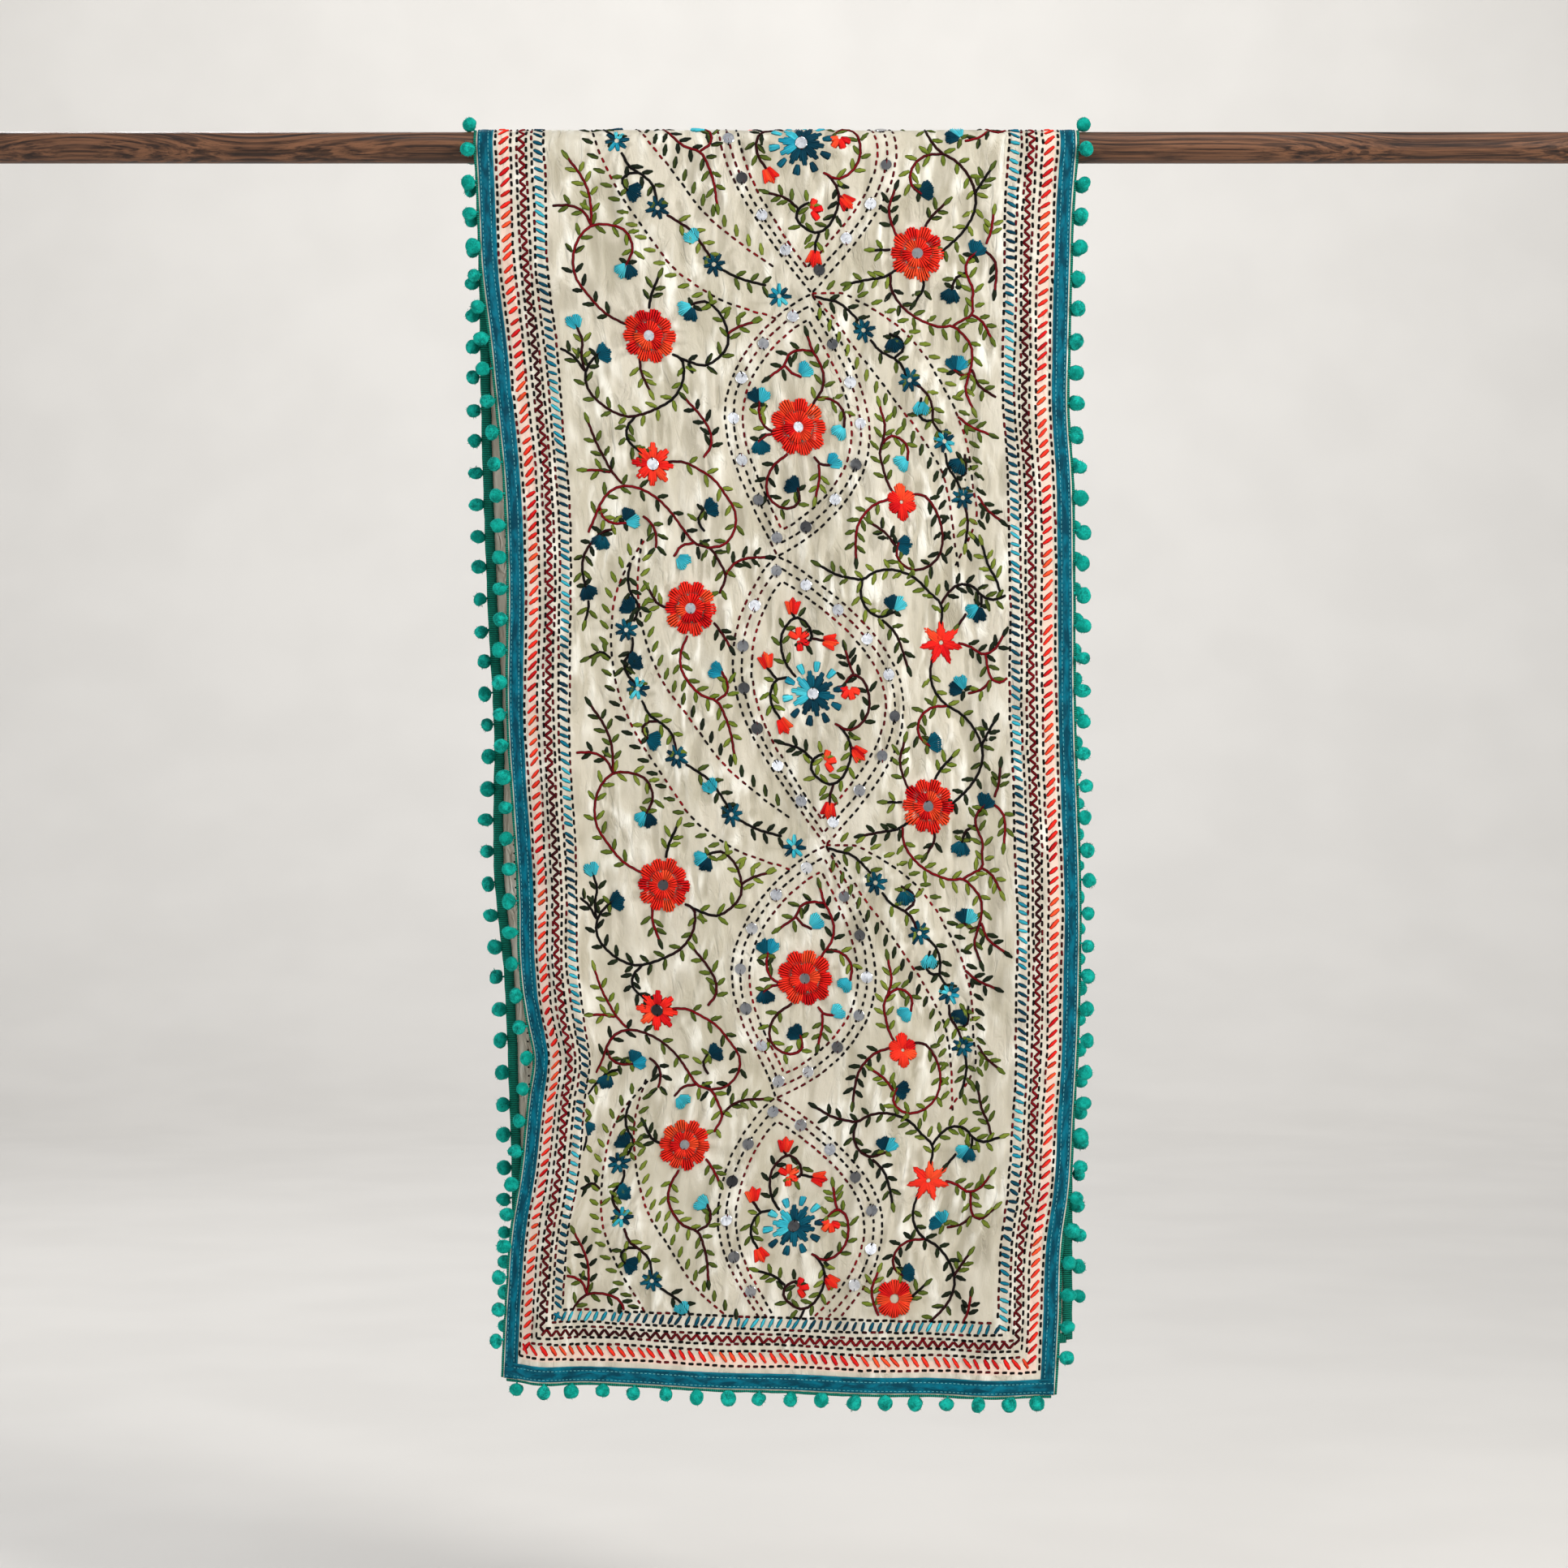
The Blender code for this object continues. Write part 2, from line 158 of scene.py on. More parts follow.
# Soft creases, in millimetres on the flat cloth: where each starts and ends, half width and height.
# A height below 0 is a trough. The back drop's runs are negative.
CREASES = [Crease(*row) for row in (
    (96, 20, 112, 190, 5.0, 1.1), (62, 60, 84, 250, 6.0, -1.2), (150, 30, 138, 150, 5.0, 0.9),
    (190, 60, 186, 240, 6.0, -1.0), (120, 150, 146, 330, 5.5, 1.4), (98, 170, 118, 400, 6.5, -1.4),
    (76, 250, 92, 420, 5.0, 1.2), (150, 320, 128, 520, 6.0, 1.3), (172, 380, 166, 560, 7.0, -1.4),
    (112, 430, 116, 620, 5.5, -1.2), (190, 500, 178, 640, 5.0, 0.9), (28, 300, 22, 400, 4.5, 1.0),
    (-6, 310, -2, 430, 5.0, -0.9), (40, 90, 30, 160, 4.0, 0.8), (-30, 20, -44, 120, 5.0, 0.9),
    (-84, 10, -70, 100, 6.0, -1.0), (-120, 40, -138, 170, 6.0, 0.9), (-64, 230, -76, 420, 6.0, 1.0),
    (-96, 250, -104, 400, 5.5, -1.1), (-140, 270, -152, 420, 6.0, 1.0), (-176, 230, -184, 380, 7.0, -1.0),
    (-112, 480, -90, 640, 6.0, 0.9), (-160, 520, -176, 700, 7.0, -1.1), (-60, 600, -74, 780, 6.0, 0.8),
    (-128, 700, -118, 880, 7.0, -0.9), (60, 640, 78, 800, 6.5, 0.9), (96, 720, 140, 880, 7.0, -1.2),
    (158, 700, 170, 860, 6.0, 1.0), (104, 900, 176, 960, 7.0, 1.5), (120, 940, 190, 1010, 7.0, -1.4),
    (100, 960, 160, 1040, 6.0, 1.0), (-200, 1034, -110, 1040, 4.0, 1.3),
    (-205, 1044, -120, 1052, 4.0, -1.1), (-40, 860, -64, 1010, 6.0, 0.9),
    (-150, 900, -136, 1040, 7.0, 1.0), (30, 1000, 44, 1070, 5.0, -0.8), (-272, 232, -236, 246, 4.5, 2.6),
    (-270, 246, -240, 262, 4.0, -1.6), (-268, 270, -250, 330, 4.5, 1.2), (-270, 770, -232, 800, 6.0, 1.8),
    (-268, 812, -236, 822, 5.0, -1.8), (-270, 838, -240, 856, 5.0, 1.6), (-268, 560, -250, 620, 5.0, 1.2),
    (244, 690, 268, 730, 6.0, 1.3), (240, 860, 268, 876, 5.0, 1.2), (-110, -40, -128, -230, 6.5, 1.2),
    (-60, -60, -44, -260, 6.0, -1.1), (30, -50, 48, -220, 6.0, 1.1), (110, -60, 92, -280, 7.0, -1.3),
    (160, -120, 172, -340, 7.0, 1.2), (-150, -280, -138, -480, 7.0, -1.2),
    (-90, -320, -104, -540, 8.0, 1.4), (-10, -300, 8, -520, 7.0, -1.1), (70, -380, 58, -600, 7.0, 1.2),
    (140, -420, 150, -640, 8.0, -1.3), (-170, -560, -156, -760, 7.0, 1.1),
    (-60, -600, -74, -820, 8.0, -1.2), (20, -640, 4, -860, 7.0, 1.1), (100, -700, 118, -900, 8.0, -1.2),
    (170, -760, 156, -980, 7.0, 1.2), (-120, -860, -108, -1030, 7.0, 1.0), (60, -900, 132, -980, 8.0, 1.4),
    (-200, -1000, -90, -1014, 5.0, 1.2),
)]

# Where the fine puckers are strongest
PUCKERED = [Patch(*row) for row in (
    (120, 300, 70, 170, 1.0), (150, 120, 60, 90, 0.7), (140, 520, 60, 150, 0.8), (20, 330, 50, 80, 0.7),
    (-70, 60, 90, 60, 0.6), (-60, 420, 60, 120, 0.5), (-120, 300, 60, 110, 0.5), (120, 700, 70, 110, 0.5),
    (140, 960, 60, 60, 0.6), (-130, 620, 60, 130, 0.4), (-80, -240, 90, 170, 0.7),
    (110, -420, 80, 200, 0.8), (-60, -700, 90, 180, 0.6), (90, -880, 90, 140, 0.6),
)]
PUCKER_EVERYWHERE = 0.46
PUCKER_HEIGHT = 1.75
PUCKER_CELL = (8.5, 40.0)
CRUMPLE_HEIGHT = 0.60
CRUMPLE_CELL = (6.0, 15.0)
RELIEF_SPAN = 1.7
# A crease wanders off its straight line, runs past its ends by a share of its length, and fades over another
CREASE_WANDER = 3.0
CREASE_PAST_END = 0.15
CREASE_FADE = 0.35
# Gathers round a flower: how many waves, how high, and how soon they die away
GATHER_WAVES = 13.0
GATHER_HEIGHT = 0.50
GATHER_REACH = 14.0
# Below the rod the creases come up over the first of these, and the waves on it die away over the second
CREASES_BEGIN = 45.0
OVER_ROD_REACH = 30.0
OVER_ROD_WAVES = 0.9
# The sewn edges lie flatter: by this share, from this far off the middle, over this width
EDGE_CALM = 0.45
CALM_FROM = 235.0
CALM_OVER = 20.0
# The silk lies this far inside its own face, under the stitches' feet
SILK_SUNK = 0.05


def eased(share):
    """Rises from 0 to 1 with level ends."""
    share = np.clip(share, 0.0, 1.0)
    return share * share * (3.0 - 2.0 * share)


def curve_through(stations, values, at):
    """A smooth line through a table: each stretch is a cubic that leaves its ends at the table's slopes."""
    stations, values = np.asarray(stations, float), np.asarray(values, float)
    slopes = np.gradient(values, stations)
    i = np.clip(np.searchsorted(stations, at) - 1, 0, len(stations) - 2)
    span = stations[i + 1] - stations[i]
    t = np.clip((at - stations[i]) / span, 0.0, 1.0)
    rise = t * t * (3.0 - 2.0 * t)
    leaving = span * t * (1.0 - t) ** 2 * slopes[i]
    arriving = span * t * t * (1.0 - t) * slopes[i + 1]
    return values[i] * (1.0 - rise) + values[i + 1] * rise + leaving - arriving


def unit(vectors):
    return vectors / np.linalg.norm(vectors, axis=-1, keepdims=True)


def linear(red, green, blue):
    """A colour as seen on a screen, 0 to 255, as linear light."""
    seen = np.array([red, green, blue]) / 255.0
    return np.where(seen <= 0.04045, seen / 12.92, ((seen + 0.055) / 1.055) ** 2.4)


def hem_length(drop, places):
    """The drop's length at each place: level from corner to corner, with a slight sag between them."""
    share = (places + 1.0) / 2.0
    straight = drop.hem_left + (drop.hem_right - drop.hem_left) * share
    return straight + drop.hem_sag * np.sin(np.pi * np.clip(share, 0.0, 1.0))


def middle_length(drop):
    return (drop.hem_left + drop.hem_right) / 2.0


def hem_run(drop):
    return QUARTER_TURN + middle_length(drop)


def drop_sections(drop, levels):
    """Level cuts through a drop, a row for each: places across it, depth off the rod's tangent, and length.

    The folds are bell-shaped ridges. Their common depth is found by halving, so that a narrower section,
    measured along its ridges, keeps the cut's width apart from what fine puckers take up.
    """
    drops = [edge.drop for edge in drop.edges]
    left = curve_through(drops, [edge.left for edge in drop.edges], levels)
    right = curve_through(drops, [edge.right for edge in drop.edges], levels)
    width = right - left
    share = np.linspace(0.0, 1.0, SECTION_SAMPLES)
    across = left[:, None] + width[:, None] * share
    down = np.clip(levels / middle_length(drop), 0.0, 1.0)
    ridges = np.zeros_like(across)
    for fold in drop.folds:
        centre = fold.at_top + (fold.at_hem - fold.at_top) * down
        away = (share[None, :] - centre[:, None]) * width[:, None] / fold.spread
        rise = eased((levels - fold.starts) / (fold.fullest - fold.starts))
        rise = FOLD_AT_START + (1.0 - FOLD_AT_START) * rise
        ridges += fold.depth * rise[:, None] * np.exp(-away * away / 2.0)
    spare = (CUT_WIDTH - width) * (1.0 - PUCKERED_SHARE) * eased(levels / FOLDS_BEGIN)
    wanted = width + np.maximum(spare, 0.0)
    low, high = np.zeros_like(levels), np.full_like(levels, MOST_FOLD_DEPTH)
    for _ in range(HALVINGS):
        middle = (low + high) / 2.0
        steps = np.hypot(np.diff(across), np.diff(ridges) * middle[:, None])
        short = steps.sum(axis=1) < wanted
        low, high = np.where(short, middle, low), np.where(short, high, middle)
    depth = ridges * low[:, None]
    steps = np.hypot(np.diff(across), np.diff(depth))
    along = np.concatenate([np.zeros((len(levels), 1)), np.cumsum(steps, axis=1)], axis=1)
    return across, depth, along


def drop_points(drop, shares, places):
    """Middle surface of a drop. A share is 0 at the rod's tangent and 1 at the hem."""
    levels = shares * middle_length(drop)
    across, depth, along = drop_sections(drop, levels)
    lean = drop.lean * eased(levels / LEANS_BY)
    spot = (places + 1.0) / 2.0
    points = np.zeros((len(shares), len(places), 3))
    for row in range(len(shares)):
        wanted = spot * along[row, -1]
        points[row, :, 0] = np.interp(wanted, along[row], across[row])
        forward = TURN_RADIUS + lean[row] + np.interp(wanted, along[row], depth[row])
        points[row, :, 1] = drop.way * forward
    points[:, :, 2] = -shares[:, None] * hem_length(drop, places)[None, :]
    return points


def turn_points(runs, places):
    """Middle surface of the half turn over the rod: a circle round its axis, of the cut's full width."""
    angle = runs / TURN_RADIUS
    points = np.zeros((len(runs), len(places), 3))
    points[:, :, 0] = places[None, :] * CUT_WIDTH / 2.0
    points[:, :, 1] = -TURN_RADIUS * np.sin(angle)[:, None]
    points[:, :, 2] = TURN_RADIUS * np.cos(angle)[:, None]
    return points


def cloth_points(runs, places):
    runs, places = np.asarray(runs, float), np.asarray(places, float)
    points = turn_points(runs, places)
    for drop in (FRONT, BACK):
        past = -drop.way * runs - QUARTER_TURN
        rows = past > 0.0
        if rows.any():
            points[rows] = drop_points(drop, past[rows] / middle_length(drop), places)
    return points


def cloth_frame(runs, places):
    """Points of the smooth middle surface, with the directions across it, along it and out of its face."""
    runs, places = np.asarray(runs, float), np.asarray(places, float)
    nudge = STEP / (CUT_WIDTH / 2.0)
    lower, upper = np.maximum(places - nudge, -1.0), np.minimum(places + nudge, 1.0)
    across = unit(cloth_points(runs, upper) - cloth_points(runs, lower))
    along = unit(cloth_points(runs + STEP, places) - cloth_points(runs - STEP, places))
    face = unit(np.cross(along, across))
    return cloth_points(runs, places), across, along, face


def soft_noise(x, y, seed):
    """Smooth noise from -1 to 1: random heights at whole numbers, eased from each to the next."""
    size = 256
    heights = np.random.default_rng(seed).uniform(-1.0, 1.0, (size, size))
    i, j = np.floor(x).astype(int), np.floor(y).astype(int)
    right, down = eased(x - i), eased(y - j)
    i, j, next_i, next_j = i % size, j % size, (i + 1) % size, (j + 1) % size
    upper = heights[i, j] * (1.0 - right) + heights[next_i, j] * right
    lower = heights[i, next_j] * (1.0 - right) + heights[next_i, next_j] * right
    return upper * (1.0 - down) + lower * down


class Silk(NamedTuple):
    places: np.ndarray
    runs: np.ndarray
    points: np.ndarray
    across: np.ndarray
    face: np.ndarray
    relief: np.ndarray


HALF_CUT = CUT_WIDTH / MM / 2.0
FRONT_HEM = hem_run(FRONT) / MM
BACK_HEM = -hem_run(BACK) / MM
TURN = QUARTER_TURN / MM


def crease_heights(x, run):
    """Soft troughs and ridges, each bell-shaped across its own wandering line and fading past its ends."""
    height = np.zeros_like(x)
    for crease in CREASES:
        step_x, step_run = crease.x_end - crease.x_start, crease.run_end - crease.run_start
        length = np.hypot(step_x, step_run)
        share = ((x - crease.x_start) * step_x + (run - crease.run_start) * step_run) / length**2
        beside = ((x - crease.x_start) * step_run - (run - crease.run_start) * step_x) / length
        beside = beside + CREASE_WANDER * np.sin(5.0 * share + crease.x_start)
        ends = eased((share + CREASE_PAST_END) / CREASE_FADE)
        ends = ends * eased((1.0 + CREASE_PAST_END - share) / CREASE_FADE)
        height += crease.height * ends * np.exp(-((beside / crease.spread) ** 2) / 2.0)
    return height


def pucker_heights(x, run):
    """Fine upright puckers, sharper at their crests, strongest in a few patches, over a finer crumple."""
    strength = np.full_like(x, PUCKER_EVERYWHERE)
    for patch in PUCKERED:
        away = ((x - patch.x) / patch.reach_x) ** 2 + ((run - patch.run) / patch.reach_run) ** 2
        strength += patch.strength * np.exp(-away)
    sway = 6.0 * soft_noise(x / 60.0 + 7.0, run / 80.0, 3)
    wide, tall = PUCKER_CELL
    long_ones = soft_noise((x + sway) / wide + 40.0, (run + 1200.0) / tall, 11)
    long_ones = 1.0 - 2.0 * np.abs(long_ones) ** 0.8
    wide, tall = CRUMPLE_CELL
    short_ones = soft_noise((x - sway) / wide + 90.0, (run + 1200.0) / tall, 12)
    return strength * (PUCKER_HEIGHT * long_ones / 2.0 + CRUMPLE_HEIGHT * short_ones)


def gathers(x, run):
    """Small folds that start at the flowers' rims, where the dense stitches pull the silk in."""
    height = np.zeros_like(x)
    for centre_x, centre_run, radius in flower_places():
        rows = np.abs(run[:, 0] - centre_run) < radius + 40.0
        away = np.hypot(x[rows] - centre_x, run[rows] - centre_run)
        turn = np.arctan2(run[rows] - centre_run, x[rows] - centre_x)
        outside = np.clip((away - radius) / GATHER_REACH, 0.0, None)
        fade = np.where(away > radius * 0.8, np.exp(-outside), 0.0)
        waves = np.cos(GATHER_WAVES * turn + 2.0 * np.sin(3.0 * turn + centre_x))
        height[rows] += GATHER_HEIGHT * fade * waves
    return height


def silk_grid():
    """The silk as it hangs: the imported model's smooth sheet, moved along its face by creases and puckers."""
    places = np.linspace(-1.0, 1.0, SILK_COLUMNS + 1)
    runs = np.concatenate([
        np.linspace(-hem_run(BACK), -QUARTER_TURN, BACK_ROWS + 1)[:-1],
        np.linspace(-QUARTER_TURN, QUARTER_TURN, TURN_ROWS + 1)[:-1],
        np.linspace(QUARTER_TURN, hem_run(FRONT), FRONT_ROWS + 1),
    ])
    points, across, along, face = cloth_frame(runs, places)
    x, run = np.meshgrid(places * HALF_CUT, runs / MM)
    fine = pucker_heights(x, run) + gathers(x, run)
    # How high each point stands in its fine puckers; the silk's material paints shade in the hollows and
    # highlights on the crests from it
    relief = np.clip(0.5 + fine / RELIEF_SPAN, 0.0, 1.0)
    height = crease_heights(x, run) + fine
    height *= eased((np.abs(run) - TURN) / CREASES_BEGIN)
    height *= 1.0 - EDGE_CALM * eased((np.abs(x) - CALM_FROM) / CALM_OVER)
    over_rod = 1.0 - eased((np.abs(run) - TURN) / OVER_ROD_REACH)
    height += OVER_ROD_WAVES * over_rod * (1.0 + soft_noise(x / 26.0 + 30.0, run / 60.0 + 30.0, 14)) / 2.0
    points = points + face * (height * MM)[:, :, None]
    across = unit(np.gradient(points, axis=1))
    along = unit(np.gradient(points, axis=0))
    face = unit(np.cross(along, across))
    points = points - face * (SILK_SUNK * MM)
    return Silk(places, runs, points, across, face, relief)


def on_silk(silk, x, run, lift):
    """Where a flat place on the cut cloth comes to lie, all in millimetres, lifted off the silk's face.

    The silk's own grid is read between its corners, so that what is sewn on it follows the same creases.
    """
    x, run, lift = np.broadcast_arrays(*(np.asarray(value, float) for value in (x, run, lift)))
    inside = np.clip(x, -HALF_CUT, HALF_CUT)
    column = (inside / HALF_CUT + 1.0) / 2.0 * (len(silk.places) - 1)
    row = np.interp(run * MM, silk.runs, np.arange(len(silk.runs)))
    i = np.clip(np.floor(row).astype(int), 0, len(silk.runs) - 2)
    j = np.clip(np.floor(column).astype(int), 0, len(silk.places) - 2)
    down, right = (row - i)[..., None], (column - j)[..., None]

    def between(grid):
        upper = grid[i, j] * (1.0 - right) + grid[i, j + 1] * right
        lower = grid[i + 1, j] * (1.0 - right) + grid[i + 1, j + 1] * right
        return upper * (1.0 - down) + lower * down

    past_edge = ((x - inside) * MM)[..., None] * between(silk.across)
    past_hem = np.clip(run, BACK_HEM, FRONT_HEM) - run
    points = between(silk.points) + past_edge + between(silk.face) * (lift * MM)[..., None]
    points[..., 2] += past_hem * np.where(run > 0.0, 1.0, -1.0) * MM
    return points


def make_mesh(name, points, faces, material, flat=None, dyes_and_painted_light=None):
    """A mesh piece from whole arrays: points, a list of face arrays, and flat coordinates and colours of
    points.

    The colours are the threads' dye, the mirrors' painted reflection brightness, and on the silk a grey:
    how high a point stands in its puckers, from 0 in a hollow to 1 on a crest, which its material turns
    into painted shade and painted highlights.
    """
    points = np.asarray(points, float).reshape(-1, 3)
    mesh = bpy.data.meshes.new(name)
    mesh.vertices.add(len(points))
    mesh.vertices.foreach_set("co", points.ravel())
    corners = np.concatenate([np.asarray(part).ravel() for part in faces])
    sizes = np.concatenate([np.full(len(part), np.asarray(part).shape[1]) for part in faces])
    mesh.loops.add(len(corners))
    mesh.loops.foreach_set("vertex_index", corners.astype(np.int32))
    mesh.polygons.add(len(sizes))
    mesh.polygons.foreach_set("loop_start", (np.cumsum(sizes) - sizes).astype(np.int32))
    mesh.polygons.foreach_set("loop_total", sizes.astype(np.int32))
    mesh.polygons.foreach_set("use_smooth", np.ones(len(sizes), bool))
    if flat is not None:
        layer = mesh.uv_layers.new(name="flat")
        layer.data.foreach_set("uv", np.asarray(flat, float).reshape(-1, 2)[corners].ravel())
    if dyes_and_painted_light is not None:
        # The dye attribute carries the threads' dye colours, and also painted light: the mirrors' painted
        # reflections and the silk's relief for its painted shade and highlights
        layer = mesh.color_attributes.new(name="dye", type="FLOAT_COLOR", domain="POINT")
        opaque = np.concatenate([dyes_and_painted_light.reshape(-1, 3), np.ones((len(points), 1))], axis=1)
        layer.data.foreach_set("color", opaque.ravel())
    mesh.update(calc_edges=True)
    mesh.validate()
    mesh.materials.append(material)
    made = bpy.data.objects.new(name, mesh)
    bpy.context.scene.collection.objects.link(made)
    return made


def grid_faces(rows, columns, around=False):
    """Four-cornered faces of a grid of points, row by row. Around also joins its last column to its first."""
    numbers = np.arange(rows * columns).reshape(rows, columns)
    beside = np.roll(numbers, -1, axis=1)
    last = columns if around else columns - 1
    quads = [numbers[:-1, :last], beside[:-1, :last], beside[1:, :last], numbers[1:, :last]]
    return np.stack(quads, axis=-1).reshape(-1, 4)


def tube_ends(rows, columns):
    """Faces that close both ends of a grid whose rows are rings."""
    numbers = np.arange(rows * columns).reshape(rows, columns)
    return [numbers[:1, ::-1], numbers[-1:, :]]


def copied(faces, corners, count, start=0):
    """One shape's faces, repeated for a number of copies that have so many corners each."""
    first = start + corners * np.arange(count)
    return (first[:, None, None] + np.asarray(faces)[None]).reshape(-1, np.shape(faces)[1])


def make_silk(name, silk, first, last, material):
    """A thin closed sheet between two rows of the silk's grid: two layers, joined at the rim."""
    points = silk.points[first:last + 1]
    face = silk.face[first:last + 1]
    rows, columns = points.shape[:2]
    both = np.stack([points, points - face * SILK_THICKNESS])
    numbers = np.arange(rows * columns).reshape(rows, columns)
    rim = np.concatenate([numbers[0, :-1], numbers[:-1, -1], numbers[-1, :0:-1], numbers[:0:-1, 0]])
    next_rim = np.roll(rim, -1)
    inner = rows * columns
    outer_faces = grid_faces(rows, columns)[:, ::-1]
    inner_faces = grid_faces(rows, columns) + inner
    rim_faces = np.stack([rim, next_rim, next_rim + inner, rim + inner], axis=-1)
    x, run = np.meshgrid(silk.places * HALF_CUT, silk.runs[first:last + 1] / MM)
    flat = np.stack([x, run], axis=-1) * MM
    relief = silk.relief[first:last + 1]
    # The relief, turned over for the wrong side, goes into the dye attribute as a grey for the silk's painted
    # shade and painted highlights
    tones = np.stack([relief, 1.0 - relief])[..., None] * np.ones(3)
    faces = [outer_faces, inner_faces, rim_faces]
    return make_mesh(name, both, faces, material, np.stack([flat, flat]), tones)


# Dyes. Each thread is dyed in lengths: it runs through these shades and back to the first over its length.

class Dye(NamedTuple):
    length: float
    shades: tuple


DYES = {
    "red": Dye(150, (
        (250, 54, 34), (248, 44, 30), (214, 14, 22), (240, 32, 26), (254, 84, 44), (252, 60, 38),
    )),
    "blue": Dye(170, (
        (0, 50, 70), (2, 80, 102), (8, 116, 142), (62, 190, 210), (24, 140, 164), (0, 68, 88),
    )),
    "navy": Dye(120, ((0, 52, 70), (0, 68, 88), (4, 92, 114), (0, 58, 76))),
    "cyan": Dye(120, ((56, 186, 206), (84, 210, 224), (28, 152, 180), (70, 196, 212))),
    "leaf": Dye(310, (
        (106, 124, 38), (124, 138, 50), (82, 98, 34), (30, 42, 19), (20, 30, 16), (90, 106, 34),
    )),
    "maroon": Dye(260, ((130, 2, 18), (108, 2, 15), (54, 3, 10), (120, 2, 17))),
    "black": Dye(260, ((10, 4, 5), (6, 3, 4), (46, 2, 8), (9, 4, 5))),
    "dash": Dye(230, ((5, 3, 4), (6, 3, 4), (5, 3, 4), (100, 2, 14), (6, 3, 4))),
    "dash_red": Dye(190, ((128, 3, 16), (96, 2, 13), (8, 4, 5), (6, 3, 4), (140, 4, 18), (10, 4, 5))),
}
DYE_NAMES = tuple(DYES)


def dyed(name, along):
    """The colour of a dyed thread at distances along it."""
    shades = np.array([linear(*shade) for shade in DYES[name].shades])
    spot = along / DYES[name].length * len(shades)
    first = np.floor(spot).astype(int)
    share = eased((spot - first - 0.2) / 0.6)[..., None]
    return shades[first % len(shades)] * (1.0 - share) + shades[(first + 1) % len(shades)] * share


# Widths of a stitch's foot and tip, as shares of its width in the middle
BLUNT = (0.88, 0.88)
POINTED = (0.46, 0.36)
ROUNDED = (0.70, 0.66)
FLARED = (0.62, 1.22)
# Columns of a table of stitches
START, END = slice(0, 2), slice(2, 4)
WIDTH, HEIGHT, LIFT, ALONG, DYE, FOOT, TIP = range(4, 11)
# The flat cloth's way to the right
EAST = np.array([1.0, 0.0])


class Needlework:
    """Stitches laid out flat: where each starts and ends, its width, height, lift, dye and ends."""

    def __init__(self):
        self.parts = []
        self.chance = np.random.default_rng(5)

    def add(self, start, end, width, height, dye, along, lift=0.05, ends=BLUNT):
        start, end = np.atleast_2d(start), np.atleast_2d(end)
        values = (width, height, lift, along, DYE_NAMES.index(dye), *ends)
        columns = [np.broadcast_to(np.asarray(value, float), len(start)) for value in values]
        self.parts.append(np.column_stack([start, end, *columns]))

    def table(self):
        return np.concatenate(self.parts)


def lengths_along(line):
    """How far along a line each of its points lies."""
    return np.concatenate([[0.0], np.cumsum(np.hypot(*np.diff(line, axis=0).T))])


def even_points(line, step):
    """Points at even steps along a line that is already smooth, and its heading at each."""
    length = lengths_along(line)
    at = np.linspace(0.0, length[-1], max(int(round(length[-1] / step)), 1) + 1)
    points = np.stack([np.interp(at, length, column) for column in line.T], axis=1)
    return points, unit(np.gradient(points, axis=0))


def smooth_path(knots, step):
    """Points at even steps along a smooth line through the knots, and the line's heading at each."""
    knots = np.asarray(knots, float).reshape(-1, 2)
    chord = lengths_along(knots)
    fine = np.linspace(0.0, chord[-1], 24 * len(knots))
    line = np.stack([curve_through(chord, column, fine) for column in knots.T], axis=1)
    return even_points(line, step)


def turned(heading, degrees):
    """Directions turned on the flat cloth, where x goes right and run down: clockwise for more than 0."""
    cosine, sine = np.cos(np.radians(degrees)), np.sin(np.radians(degrees))
    x, run = heading[..., 0], heading[..., 1]
    return np.stack([x * cosine - run * sine, x * sine + run * cosine], axis=-1)


class Dashes(NamedTuple):
    pitch: float
    length: float
    least: float
    most: float
    side_step: float
    height: float
    starts: float


BAND_DASHES = Dashes(8.2, 5.2, 0.86, 1.12, 0.25, 0.95, 0.0)
MEDALLION_DASHES = Dashes(7.9, 5.2, 0.85, 1.15, 0.22, 1.05, 1.5)
DASH_WIDTH = 2.3


def sew_dashes(work, points, heading, kind, dye, phase):
    """A line of running stitches: a stitch, a gap, and so on, none quite in line."""
    wobble = work.chance.normal(0.0, kind.side_step, len(points))[:, None] * turned(heading, 90.0)
    long = kind.length * work.chance.uniform(kind.least, kind.most, len(points))[:, None]
    start = points + wobble + heading * kind.starts
    place = phase + kind.pitch * np.arange(len(points))
    work.add(start, start + heading * long, DASH_WIDTH, kind.height, dye, place)


LEAF_WIDTH = 3.75
LEAF_HEIGHT = 1.25
# How far each of a leaf's two strands lies beside its middle line
LEAF_AT_ROOT = 0.60
LEAF_AT_TIP = 0.42


def sew_leaf(work, root, heading, phase, length):
    """A leaf of two strands side by side, that meet at its root and near its tip."""
    for side in (-1.0, 1.0):
        beside = turned(heading, 90.0) * side
        start = root + beside * LEAF_AT_ROOT
        end = root + heading * length + beside * LEAF_AT_TIP
        work.add(start, end, LEAF_WIDTH, LEAF_HEIGHT, "leaf", phase + 5.0 * side, ends=POINTED)


# Buds: half of a fan's spread in degrees, its reach, and the number of lobes along its rim
BUD_SHAPES = {"navy": (52.0, 14.5, 3.0), "cyan": (47.0, 14.0, 2.0), "both": (64.0, 15.0, 4.0)}
BUD_STEP = 2.15
RING_PITCH = 2.70
DARK_LEAF = 172.0


